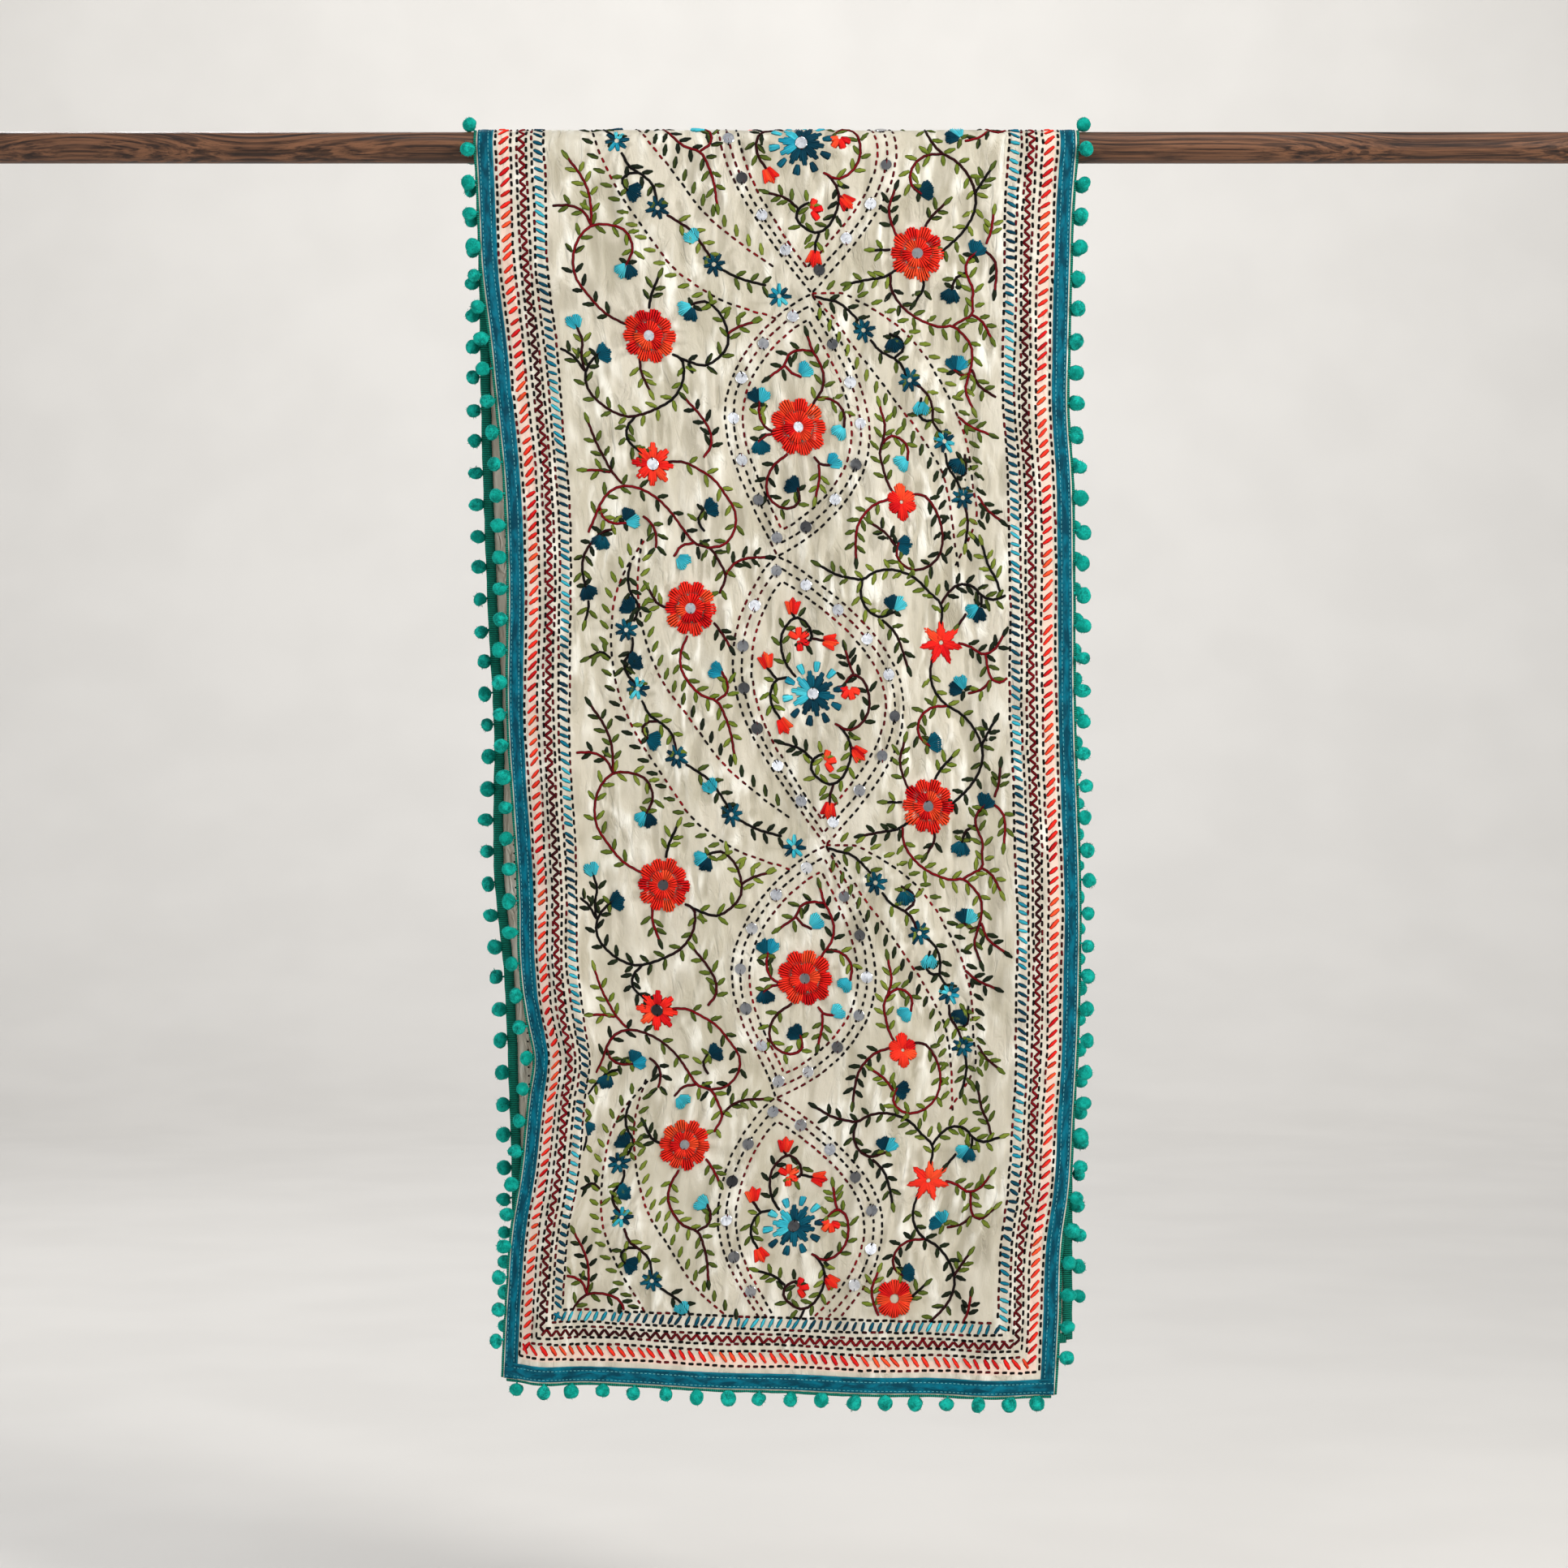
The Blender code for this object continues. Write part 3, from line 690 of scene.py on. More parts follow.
def sew_bud(work, centre, heading, kind, phase):
    """A bud: satin stitches that fan out from its stem to a lobed rim, and two dark leaves at its foot.

    The kind that is called both is navy on its left half and cyan on its right.
    """
    if kind == "tulip":
        sew_tulip(work, centre, heading, phase)
        return
    spread, reach, lobes = BUD_SHAPES[kind]
    root = centre - heading * 0.55 * reach
    heading = turned(heading, 24.0 * np.sin(phase))
    count = int(round(2.0 * np.radians(spread) * reach / BUD_STEP))
    share = (np.arange(count) + 0.5) / count
    across = 2.0 * share - 1.0
    within = share * lobes - np.floor(share * lobes)
    rim = reach * (1.04 - 0.17 * np.abs(2.0 * within - 1.0) ** 2.0) + work.chance.normal(0.0, 0.35, count)
    rim = rim * (1.0 - 0.16 * np.abs(across) ** 3.0)
    way = turned(heading[None], spread * across)
    start = root + way * 1.2 + (1.6 * across)[:, None] * turned(heading, 90.0)
    end = root + way * rim[:, None]
    left = share < 0.5
    for half, dye in ((left, "navy"), (~left, "cyan")):
        own = dye if kind == "both" else kind
        work.add(start[half], end[half], 0.9 * BUD_STEP, 1.6, own, phase + 18.0 * share[half], ends=FLARED)
    if kind != "cyan":
        sew_leaf(work, root, turned(heading, 108.0), DARK_LEAF, 8.5)
        sew_leaf(work, root, turned(heading, -112.0), DARK_LEAF + 20.0, 9.5)


def sew_tulip(work, centre, heading, phase):
    """A small red bud: strands that fan out from its root in three points."""
    root = centre - heading * 6.6
    spot = np.linspace(-1.0, 1.0, 9)
    reach = 14.2 * (1.0 - 0.12 * spot * spot + 0.13 * np.cos(2.0 * np.pi * spot))
    start = root + turned(heading, 90.0) * (3.2 * spot)[:, None]
    end = root + turned(heading[None], 29.0 * spot) * reach[:, None]
    work.add(start, end, 2.3, 1.5, "red", phase + 40.0 * np.floor(1.5 * spot), ends=FLARED)


class Petals(NamedTuple):
    count: int
    first: float
    apart: float
    inner: float
    outer: float
    half_width: float
    strands: int
    phase_step: float
    pointed: float
    longer: float = 0.0
    dye: str = "red"
    cyan: tuple = (0.0, 0.0)


# Rounds of petals. In the blue flower those whose directions lie between two angles are cyan.
PETALS = {
    "blue_daisy": (
        Petals(10, 8.0, 36.0, 4.8, 21.5, 5.4, 4, 17.0, 0.6, dye="navy", cyan=(150.0, 240.0)),
        Petals(10, 26.0, 36.0, 19.0, 31.0, 3.6, 2, 23.0, 0.2, dye="navy", cyan=(165.0, 345.0)),
    ),
    "red_star": (Petals(8, 6.0, 45.0, 4.8, 20.5, 6.2, 4, 31.0, 0.6),),
    "small_red": (Petals(6, 25.0, 60.0, 1.0, 14.5, 6.4, 5, 19.0, 0.2, longer=3.0),),
    "pointed_red": (Petals(7, -90.0, 360.0 / 7.0, 1.4, 21.0, 6.8, 5, 13.0, 0.9),),
    "tiny_star_3": (Petals(3, -72.0, 62.0, 1.0, 14.5, 4.0, 2, 19.0, 0.5),),
    "tiny_star_4": (Petals(4, 20.0, 52.0, 1.0, 14.5, 4.0, 2, 19.0, 0.5),),
    "tiny_star_5": (Petals(5, -150.0, 58.0, 1.0, 14.5, 4.0, 2, 19.0, 0.5),),
}


def sew_petal(work, centre, petals, number, phase):
    """One satin petal of a round: strands side by side from its foot to its rounded, or pointed, tip."""
    degrees = petals.apart * number + petals.first
    from_degrees, to_degrees = petals.cyan
    dye = "cyan" if from_degrees < degrees < to_degrees else petals.dye
    inner, outer = petals.inner, petals.outer + (petals.longer if number % 3 == 1 else 0.0)
    heading = turned(EAST, degrees)
    beside = turned(heading, 90.0)
    share = np.linspace(-1.0, 1.0, petals.strands)
    tip = outer - (outer - inner) * (0.10 + 0.34 * petals.pointed) * share * share
    width = 2.0 * petals.half_width / petals.strands * 1.25
    reach = petals.half_width - width / 2.0
    start = centre + inner * heading + (share * reach * 0.45)[:, None] * beside
    end = centre + tip[:, None] * heading + (share * reach * (1.0 - 0.45 * petals.pointed))[:, None] * beside
    end = end + work.chance.normal(0.0, 0.15, end.shape)
    place = phase + petals.phase_step * number + 4.0 * share**2
    work.add(start, end, width, 1.35, dye, place, ends=(0.60, 1.05 - 0.45 * petals.pointed))


def sew_star(work, centre, degrees, outer, dye, phase):
    """One petal of a small star: two strands that swell side by side and meet at the tip."""
    heading = turned(EAST, degrees)
    for side in (-1.0, 1.0):
        beside = turned(heading, 90.0) * side
        start = centre + heading * 1.6 + beside * 0.65
        end = centre + heading * outer + beside * 0.75
        work.add(start, end, 3.2, 1.4, dye, phase + 5.0 * side, ends=(0.50, 0.45))


class Ring(NamedTuple):
    inner: float
    outer: float
    lobes: int
    scallop: float
    lift: float
    phase: float


RINGS = {
    "rose": (Ring(13.0, 25.8, 9, 0.22, 0.05, 0.0), Ring(4.4, 14.4, 6, 0.18, 1.0, 60.0)),
    "rosette": (Ring(12.2, 24.2, 10, 0.22, 0.05, 0.0), Ring(4.4, 13.4, 6, 0.18, 1.0, 40.0)),
}


def sew_ring(work, centre, ring, phase):
    """A round of red satin stitches whose outer ends rise and fall in lobes, each a little off in dye."""
    phase = phase + ring.phase
    count = int(round(2.0 * np.pi * ring.outer / RING_PITCH))
    share = (np.arange(count) + 0.5) / count
    lobe = np.floor(share * ring.lobes)
    within = share * ring.lobes - lobe
    heading = turned(EAST[None], 360.0 * share + 20.0)
    rounding = 1.03 + 0.03 * np.sin(2.9 * lobe + phase) - ring.scallop * np.abs(2.0 * within - 1.0) ** 3
    reach = ring.outer * rounding + work.chance.normal(0.0, 0.18, count)
    lean = turned(heading, 90.0) * (1.2 * (within - 0.5))[:, None]
    place = phase + 62.0 * np.sin(1.7 * lobe + phase) + 3.0 * within
    start, end = centre + heading * ring.inner + lean, centre + heading * reach[:, None]
    work.add(start, end, 0.86 * RING_PITCH, 1.7, "red", place, ring.lift, FLARED)


# Flowers: kind, x and run on the flat cloth, both in the repeat's own millimetres
FLOWERS = (
    ("rose", 14, 274), ("blue_daisy", 22, 22), ("rosette", -120, 194), ("rosette", -94, 436),
    ("rosette", 128, 120), ("red_star", -126, 308), ("small_red", 106, 340), ("pointed_red", 142, 464),
    ("blue_star", -154, 456), ("light_star", -142, 508), ("blue_star", -106, 568),
    ("blue_star", -56, 618), ("light_star", 2, 646), ("blue_star", 78, 188), ("blue_star", 120, 232),
    ("light_star", 150, 286), ("blue_star", 164, 336), ("tiny_star_5", 8, 462), ("tiny_star_4", 56, 505),
    ("tiny_star_3", 32, 570),
)
FLOWER_RADIUS = {
    "rose": 25.5,
    "blue_daisy": 29.0,
    "rosette": 23.5,
    "red_star": 18.0,
    "small_red": 15.0,
    "pointed_red": 18.0,
    "blue_star": 11.5,
    "light_star": 11.5,
}
WITH_MIRROR = ("rose", "blue_daisy", "rosette", "red_star")
STAR_PETALS = 8


def sew_flower(work, kind, x, run):
    """One flower: its rings, its rounds of petals, or the petals of a small star."""
    centre = np.array([x, run], float)
    phase = 37.0 * x + 11.0 * run
    if kind in RINGS:
        for ring in RINGS[kind]:
            sew_ring(work, centre, ring, phase)
    elif kind in PETALS:
        for number in range(PETALS[kind][0].count):
            for petals in PETALS[kind]:
                sew_petal(work, centre, petals, number, phase)
    else:
        for number in range(STAR_PETALS):
            dye = "cyan" if kind == "light_star" and number % 4 in (1, 2) else "navy"
            sew_star(work, centre, 45.0 * number + x, 11.8 - number % 3, dye, phase + 9.0 * number)


class Medallion(NamedTuple):
    top_x: float
    top: float
    bottom_x: float
    bottom: float
    left_bulge: float
    right_bulge: float
    left_fullest: float
    right_fullest: float
    first_mirrors: tuple
    from_top: bool


MEDALLIONS = (
    Medallion(32, 156, -12, 388, 66, 72, 0.42, 0.58, (5.0, 29.0), False),
    Medallion(-12, 388, 32, 644, 59, 97, 0.44, 0.47, (4.0, 29.0), True),
)
# Inset of the three lines at a medallion's tips and at its sides
MEDALLION_LINES = ((0, 0, "dash"), (11, 8, "dash"), (23, 17, "dash_red"))
MIRROR_PITCH = 37.5
MIRROR_RADIUS = 5.1
# Mirrors are placed on points this far apart, and stop this far before the end of a line
MIRROR_STEP = 0.5
MIRROR_FREE_END = 12.0


def medallion_side(shape, side, tip_inset, side_inset):
    """One side of a medallion: a sine bulge off the line from tip to tip, with its fullest part moved."""
    share = np.linspace(0.0, 1.0, 60)
    run = shape.top + tip_inset + (shape.bottom - shape.top - 2.0 * tip_inset) * share
    spot = (run - shape.top) / (shape.bottom - shape.top)
    bulge, fullest = shape.left_bulge, shape.left_fullest
    if side > 0:
        bulge, fullest = shape.right_bulge, shape.right_fullest
    if fullest <= 0.5:
        bent = share ** (np.log(0.5) / np.log(fullest))
    else:
        bent = 1.0 - (1.0 - share) ** (np.log(0.5) / np.log(1.0 - fullest))
    middle = shape.top_x + (shape.bottom_x - shape.top_x) * spot
    x = middle + side * (bulge - side_inset) * np.sin(np.pi * bent)
    return np.stack([x, run], axis=1)


def sew_medallions(work):
    """Both medallions' lines of running stitch. Gives back the mirrors' places on their middle lines."""
    mirrors = []
    for shape in MEDALLIONS:
        for side, first in zip((-1, 1), shape.first_mirrors):
            for tip_inset, side_inset, dye in MEDALLION_LINES:
                line = medallion_side(shape, side, tip_inset, side_inset)
                points, heading = even_points(line, MEDALLION_DASHES.pitch)
                phase = 90.0 * side + 4.0 * shape.top + 30.0 * side_inset
                sew_dashes(work, points[:-1], heading[:-1], MEDALLION_DASHES, dye, phase)
            middle, _ = even_points(medallion_side(shape, side, *MEDALLION_LINES[1][:2]), MIRROR_STEP)
            if not shape.from_top:
                middle = middle[::-1]
            along = np.arange(first, len(middle) * MIRROR_STEP - MIRROR_FREE_END, MIRROR_PITCH)
            mirrors.extend(middle[(along / MIRROR_STEP).astype(int)])
    return mirrors


def sew_mirror_loops(work, mirrors):
    """Two short loops that hold each mirror down, over its rim at the top and at the bottom."""
    for sign in (-1.0, 1.0):
        swing = work.chance.normal(0.0, 0.6, len(mirrors))
        outer = mirrors + np.column_stack([swing, np.full(len(mirrors), sign * (MIRROR_RADIUS + 1.2))])
        inner = mirrors + np.column_stack([-swing, np.full(len(mirrors), sign * (MIRROR_RADIUS - 1.9))])
        work.add(outer, inner, 1.3, 0.6, "dash", 61.0 * np.arange(len(mirrors)), 0.75)


class Band(NamedTuple):
    side: int
    phase: float
    knots: tuple


# Bands of running stitch, from a medallion's tip to where two of them meet, with leaf strokes on one side:
# 1 is to the left of the way that the band runs, and -1 to its right
BANDS = (
    Band(1, 20.0, (-2, 666, -54, 648, -90, 624, -116, 590, -144, 548, -162, 504, -168, 452, -162, 416,
                   -140, 380)),
    Band(-1, 110.0, (-2, 620, -28, 602, -64, 572, -92, 536, -122, 496, -140, 448, -144, 414, -140, 380)),
    Band(1, 240.0, (32, 156, 60, 156, 78, 164, 116, 190, 142, 222, 168, 276, 174, 326, 176, 350, 170, 370,
                    158, 392)),
    Band(-1, 300.0, (32, 156, 54, 182, 68, 202, 100, 242, 126, 278, 148, 322, 152, 350, 158, 392)),
)
BAND_LEAF_PITCH = 14.0


def sew_bands(work):
    """The bands' running stitch, with a leaf stroke at even gaps beside it."""
    for number, band in enumerate(BANDS):
        points, heading = smooth_path(band.knots, BAND_DASHES.pitch)
        sew_dashes(work, points, heading, BAND_DASHES, "dash_red", 57.0 * number)
        points, heading = smooth_path(band.knots, BAND_LEAF_PITCH)
        for place in range(1, len(points) - 1):
            away = turned(heading[place], -90.0 * band.side)
            stroke = turned(heading[place], -48.0 * band.side)
            sew_leaf(work, points[place] + away * 2.6, stroke, band.phase + 12.0 * place, 11.5)


class Vine(NamedTuple):
    dye: str
    gap: float
    tip: str
    knots: tuple
    bud: tuple = ()


# Vines: dye, gap between leaf pairs, what ends it, its knots from root to tip, and where a bud sits
VINES = [Vine(*row) for row in (
    ("maroon", 13, "leaf", (-166, 96, -166, 80, -168, 66, -174, 52, -184, 38)),
    ("maroon", 12, "leaf", (-166, 96, -172, 84, -184, 78, -198, 78)),
    ("maroon", 17, "both", (-140, 184, -158, 174, -172, 158, -182, 142, -183, 122, -178, 108, -166, 96,
        -150, 95, -136, 100, -129, 116, -136, 132)),
    ("black", 10, "leaf", (-118, 170, -114, 156, -108, 144)),
    ("black", 16, "navy", (-100, 210, -92, 214, -90, 228, -94, 240, -102, 250, -116, 258, -132, 264, -144,
        266, -158, 262, -170, 254, -180, 242, -182, 230, -178, 220, -168, 210)),
    ("black", 12, "cyan", (-182, 226, -184, 212, -182, 198, -186, 186)),
    ("black", 12, "leaf", (-182, 226, -192, 212, -204, 205)),
    ("black", 17, "both", (-100, 210, -84, 217, -70, 220, -57, 213, -48, 202, -48, 186, -56, 170, -66, 163,
        -76, 165), (-82, 174)),
    ("maroon", 10, "leaf", (-48, 192, -38, 186, -26, 182)),
    ("maroon", 10, "leaf", (-130, 214, -130, 224, -124, 240)),
    ("black", 10, "none", (-138, 266, -146, 274, -148, 285, -136, 298)),
    ("maroon", 11, "leaf", (-78, 302, -70, 292, -69, 280, -76, 266, -88, 252)),
    ("black", 12, "navy", (-80, 368, -86, 358, -82, 350), (-72, 348)),
    ("maroon", 18, "none", (-112, 306, -97, 306, -84, 312, -70, 321, -60, 334, -51, 350, -52, 366, -62,
        379, -76, 382)),
    ("maroon", 18, "none", (-190, 370, -184, 358, -178, 345, -168, 333, -156, 328, -140, 330, -126, 337,
        -112, 350, -100, 366, -88, 379, -76, 382, -67, 394, -61, 408, -66, 420)),
    ("maroon", 11, "leaf", (-61, 406, -53, 396, -41, 391, -26, 390)),
    ("maroon", 14, "leaf", (-156, 326, -165, 315, -171, 303, -177, 290, -182, 274)),
    ("maroon", 9, "leaf", (-166, 316, -176, 314, -186, 314)),
    ("maroon", 9, "both", (-178, 346, -176, 355, -167, 361, -156, 361), (-150, 354)),
    ("maroon", 10, "none", (-138, 354, -130, 361, -126, 370, -126, 380)),
    ("black", 15, "navy", (-164, 366, -176, 369, -187, 379, -194, 390, -196, 402, -193, 418), (-190, 424)),
    ("black", 8, "leaf", (-190, 430, -190, 437, -192, 446)),
    ("maroon", 20, "cyan", (-90, 378, -103, 381, -108, 388), (-102, 396)),
    ("black", 8, "leaf", (-168, 482, -176, 476, -186, 480)),
    ("maroon", 9, "leaf", (-72, 448, -64, 458, -58, 467)),
    ("maroon", 14, "leaf", (-96, 460, -102, 474, -102, 488, -94, 502, -82, 513, -68, 518, -60, 532, -55,
        548, -53, 562)),
    ("maroon", 9, "cyan", (-68, 517, -59, 511, -58, 502, -63, 493), (-68, 488)),
    ("black", 8, "leaf", (-114, 436, -124, 433, -132, 422)),
    ("black", 13, "none", (-150, 396, -153, 410, -150, 424, -143, 434, -146, 446)),
    ("black", 13, "none", (-148, 462, -148, 474, -155, 484, -153, 494, -146, 502)),
    ("black", 13, "none", (-138, 518, -131, 531, -119, 539, -110, 548, -107, 560)),
    ("black", 14, "navy", (-122, 537, -131, 537, -138, 543, -134, 551), (-126, 551)),
    ("black", 13, "none", (-98, 574, -88, 580, -76, 588, -68, 598, -60, 610)),
    ("black", 13, "none", (-50, 622, -34, 630, -12, 636)),
    ("black", 16, "none", (134, -10, 132, 3, 136, 18, 146, 30, 160, 38, 170, 48, 177, 60, 180, 74, 177, 88,
        168, 102, 152, 117)),
    ("maroon", 12, "navy", (148, 32, 134, 33, 124, 40, 120, 50, 122, 60, 129, 66), (136, 64)),
    ("black", 9, "leaf", (178, 68, 184, 58, 190, 48)),
    ("maroon", 10, "leaf", (110, 106, 104, 92, 102, 80, 106, 66)),
    ("black", 8, "leaf", (134, 98, 140, 88, 150, 78)),
    ("black", 6, "leaf", (104, 117, 92, 117)),
    ("black", 10, "leaf", (110, 134, 98, 141, 86, 143, 70, 146)),
    ("black", 8, "leaf", (134, 142, 134, 150, 128, 160)),
    ("maroon", 15, "leaf", (104, 138, 104, 150, 109, 161, 122, 174, 138, 182, 150, 185, 160, 184, 168, 190,
        177, 202, 178, 214, 175, 228, 172, 240, 177, 254)),
    ("maroon", 14, "navy", (160, 184, 169, 179, 178, 174, 178, 162, 179, 152, 175, 143, 172, 134, 174, 126,
        180, 120), (184, 116)),
    ("maroon", 9, "leaf", (190, 112, 194, 102, 196, 88)),
    ("black", 12, "navy", (172, 137, 163, 142, 160, 150), (158, 158)),
    ("maroon", 12, "leaf", (190, 118, 198, 126, 200, 138, 199, 150)),
    ("maroon", 9, "leaf", (178, 174, 187, 180, 194, 192)),
    ("maroon", 12, "both", (178, 224, 170, 228, 163, 224), (162, 216)),
    ("maroon", 10, "leaf", (178, 222, 184, 236, 198, 246)),
    ("black", 13, "none", (34, 158, 44, 161, 54, 163, 63, 169, 72, 178)),
    ("black", 13, "none", (84, 196, 92, 206, 104, 212, 112, 218, 116, 226)),
    ("black", 14, "navy", (106, 212, 114, 206, 113, 197, 104, 192), (104, 202)),
    ("black", 13, "none", (126, 236, 134, 242, 139, 250, 141, 260, 140, 268, 146, 277)),
    ("black", 14, "cyan", (140, 268, 132, 268, 127, 260, 130, 250), (133, 257)),
    ("black", 13, "none", (150, 296, 151, 308, 158, 319, 162, 328)),
    ("black", 14, "navy", (160, 320, 167, 315, 168, 300), (158, 306)),
    ("black", 9, "leaf", (166, 344, 168, 356, 166, 374)),
    ("maroon", 9, "leaf", (164, 264, 174, 272, 190, 279)),
    ("maroon", 9, "leaf", (178, 334, 186, 346, 196, 354)),
    ("maroon", 14, "leaf", (98, 332, 93, 322, 90, 310, 88, 298, 92, 286, 95, 274, 92, 258)),
    ("maroon", 12, "cyan", (91, 289, 99, 282, 109, 284, 115, 292, 114, 301), (110, 308)),
    ("maroon", 12, "leaf", (94, 338, 80, 343, 70, 352, 64, 362, 62, 374, 62, 388)),
    ("maroon", 17, "navy", (116, 333, 127, 334, 136, 344, 142, 358, 144, 374, 140, 388, 130, 397, 116, 400,
        105, 395, 100, 386, 102, 378), (108, 380)),
    ("maroon", 9, "leaf", (100, 380, 90, 368, 80, 361)),
    ("black", 13, "leaf", (142, 450, 142, 430, 131, 420, 120, 409, 108, 403, 92, 400, 78, 403, 68, 409, 58,
        408, 44, 405, 30, 398)),
    ("black", 13, "both", (68, 409, 66, 421, 71, 434, 84, 442, 96, 438), (102, 430)),
    ("black", 12, "leaf", (86, 444, 98, 455, 104, 467, 110, 483)),
    ("black", 11, "leaf", (142, 430, 148, 421, 158, 413, 172, 414, 180, 422, 190, 426, 204, 422)),
    ("black", 12, "both", (180, 422, 180, 430), (172, 436)),
    ("black", 10, "leaf", (198, 420, 194, 408, 187, 396, 182, 380)),
    ("black", 8, "leaf", (166, 438, 160, 446)),
    ("maroon", 10, "leaf", (158, 464, 169, 467, 182, 474, 192, 470, 199, 460)),
    ("maroon", 11, "leaf", (184, 474, 186, 486, 190, 496, 198, 499, 207, 491)),
    ("maroon", 12, "both", (188, 497, 182, 504, 170, 508), (156, 504)),
    ("maroon", 16, "leaf", (24, 262, 31, 251, 38, 241, 40, 229, 36, 216, 30, 206, 27, 196)),
    ("maroon", 11, "leaf", (30, 207, 18, 206, 9, 209, 4, 219, -8, 228)),
    ("maroon", 20, "cyan", (4, 219, 10, 226, 17, 229), (22, 222)),
    ("maroon", 12, "cyan", (33, 248, 44, 249, 53, 254, 58, 264, 57, 272), (53, 280)),
    ("maroon", 12, "both", (-6, 279, -14, 277, -20, 270, -22, 262, -21, 253), (-18, 246)),
    ("maroon", 20, "navy", (-8, 280, -18, 282, -24, 287), (-23, 293)),
    ("maroon", 15, "navy", (2, 298, -13, 309, -20, 322, -19, 336, -11, 344, 2, 346, 10, 340, 9, 330), (2,
        328)),
    ("maroon", 20, "cyan", (26, 300, 31, 307, 40, 308), (46, 306)),
    ("maroon", 9, "leaf", (30, 307, 30, 318, 26, 334)),
    ("black", 15, "none", (6, 496, -3, 485, -8, 472, -8, 458, -2, 448, 4, 443, 13, 446, 19, 454, 20, 462,
        14, 465)),
    ("black", 20, "tulip", (4, 443, 2, 440), (2, 434)),
    ("black", 20, "tulip", (20, 461, 30, 463), (37, 464)),
    ("black", 12, "tulip", (-2, 496, -12, 498, -18, 510, -16, 522, -10, 531), (-6, 538)),
    ("black", 20, "tulip", (-12, 498, -20, 489), (-22, 482)),
    ("maroon", 15, "none", (42, 536, 55, 542, 67, 536, 74, 524, 74, 510, 68, 497, 59, 493, 54, 498)),
    ("maroon", 8, "leaf", (60, 493, 56, 484, 53, 474)),
    ("black", 14, "none", (46, 538, 54, 548, 57, 560, 54, 573, 47, 585, 38, 590, 27, 586, 19, 577, 21, 568,
        28, 564)),
    ("maroon", 20, "tulip", (56, 556, 59, 558), (63, 562)),
    ("black", 8, "tulip", (40, 590, 36, 600, 36, 606), (35, 612)),
    ("black", 9, "leaf", (20, 568, 11, 560, -4, 555)),
)]
# Buds with no stem of their own: kind, x, run, and the way each opens, in degrees clockwise from the right
BUDS = (
    ("navy", -155, 437, 200),
    ("navy", -144, 484, 330),
    ("cyan", -74, 592, 250),
    ("navy", -180, 378, 120),
)
STEM_PITCH = 3.8
STEM_OVERLAP = 3.0
STEM_WIDTH = 2.65


def sew_vine(work, vine, phase):
    """A stem of overlapping stitches, pairs of leaves at even gaps, and a leaf or a bud at its end."""
    points, heading = smooth_path(vine.knots, STEM_PITCH)
    start, end = points[:-1], points[1:] + heading[1:] * STEM_OVERLAP
    sway = np.where(np.arange(len(start)) % 2 == 0, 0.28, -0.28)[:, None] * turned(heading[:-1], 90.0)
    place = phase + STEM_PITCH * np.arange(len(start))
    work.add(start + sway, end - sway, STEM_WIDTH, 1.20, vine.dye, place, 0.10)
    nodes, direction = smooth_path(vine.knots, vine.gap)
    pairs = len(nodes) if vine.tip == "none" else len(nodes) - 1
    for number in range(1, pairs):
        for side in (-1.0, 1.0):
            slip = work.chance.uniform(-1.8, 1.8)
            heading_out = turned(direction[number], side * work.chance.uniform(42.0, 58.0))
            root = nodes[number] + direction[number] * slip + heading_out * 1.4
            long = work.chance.uniform(9.6, 12.2)
            sew_leaf(work, root, heading_out, phase + vine.gap * number, long)
    tip, last = points[-1], heading[-1]
    if vine.tip == "leaf":
        sew_leaf(work, tip + last, last, phase + vine.gap * len(nodes), 11.5)
    elif vine.tip != "none":
        centre = tip + last * 5.0
        if vine.bud:
            centre = np.array(vine.bud, float)
            last = unit(centre - tip)
        sew_bud(work, centre, last, vine.tip, phase)


REPEAT = 488.0
REPEATS = range(-3, 3)
FIELD_X = 203.0
# Plain silk between the hems' ribbon and the border, which is closer to the ribbon at the sides
HEM_PLAIN = 4.5
HEM_BORDER = 61.0 + HEM_PLAIN
# The last flower above the front hem is smaller, so that it lies whole beside the border
HEM_FLOWER = (108.0, FRONT_HEM - HEM_BORDER - 19.0)
HEM_FLOWER_REACH = 17.5
HEM_RING = Ring(3.8, HEM_FLOWER_REACH, 8, 0.20, 0.6, 40.0)
# Where the charted runs come to lie on the cloth: the sewer's repeats close up towards the front hem
CHARTED = (-1103, 0, 22, 274, 512, 762, 1000, 1140)
SEWN = (-1103, 0, 22, 274, 512, 762, 982, 1110)
DRIFT_FROM = (560, 762, 1000, 1140)
DRIFT = (0, -6, -14, -18)


def onto_cloth(x, run, repeat):
    """Charted places in one of the repeats, as they come to lie on the cloth."""
    charted = run + REPEAT * repeat
    return np.stack([x + np.interp(charted, DRIFT_FROM, DRIFT), np.interp(charted, CHARTED, SEWN)], axis=-1)


def in_field(places, margin=0.0):
    x, run = places[..., 0], places[..., 1]
    inside = (run > BACK_HEM + HEM_BORDER + margin) & (run < FRONT_HEM - HEM_BORDER - margin)
    return inside & (np.abs(x) < FIELD_X - margin)


def large_flowers():
    """The place and radius of every larger flower of every repeat, also of those outside the field."""
    for repeat in REPEATS:
        for kind, x, run in FLOWERS:
            if kind in FLOWER_RADIUS:
                yield onto_cloth(x, run, repeat), FLOWER_RADIUS[kind]


def flower_places():
    """Every larger flower on the cloth: x, run and radius."""
    found = [(*place, radius) for place, radius in large_flowers() if in_field(place)]
    return found + [(*HEM_FLOWER, HEM_FLOWER_REACH)]


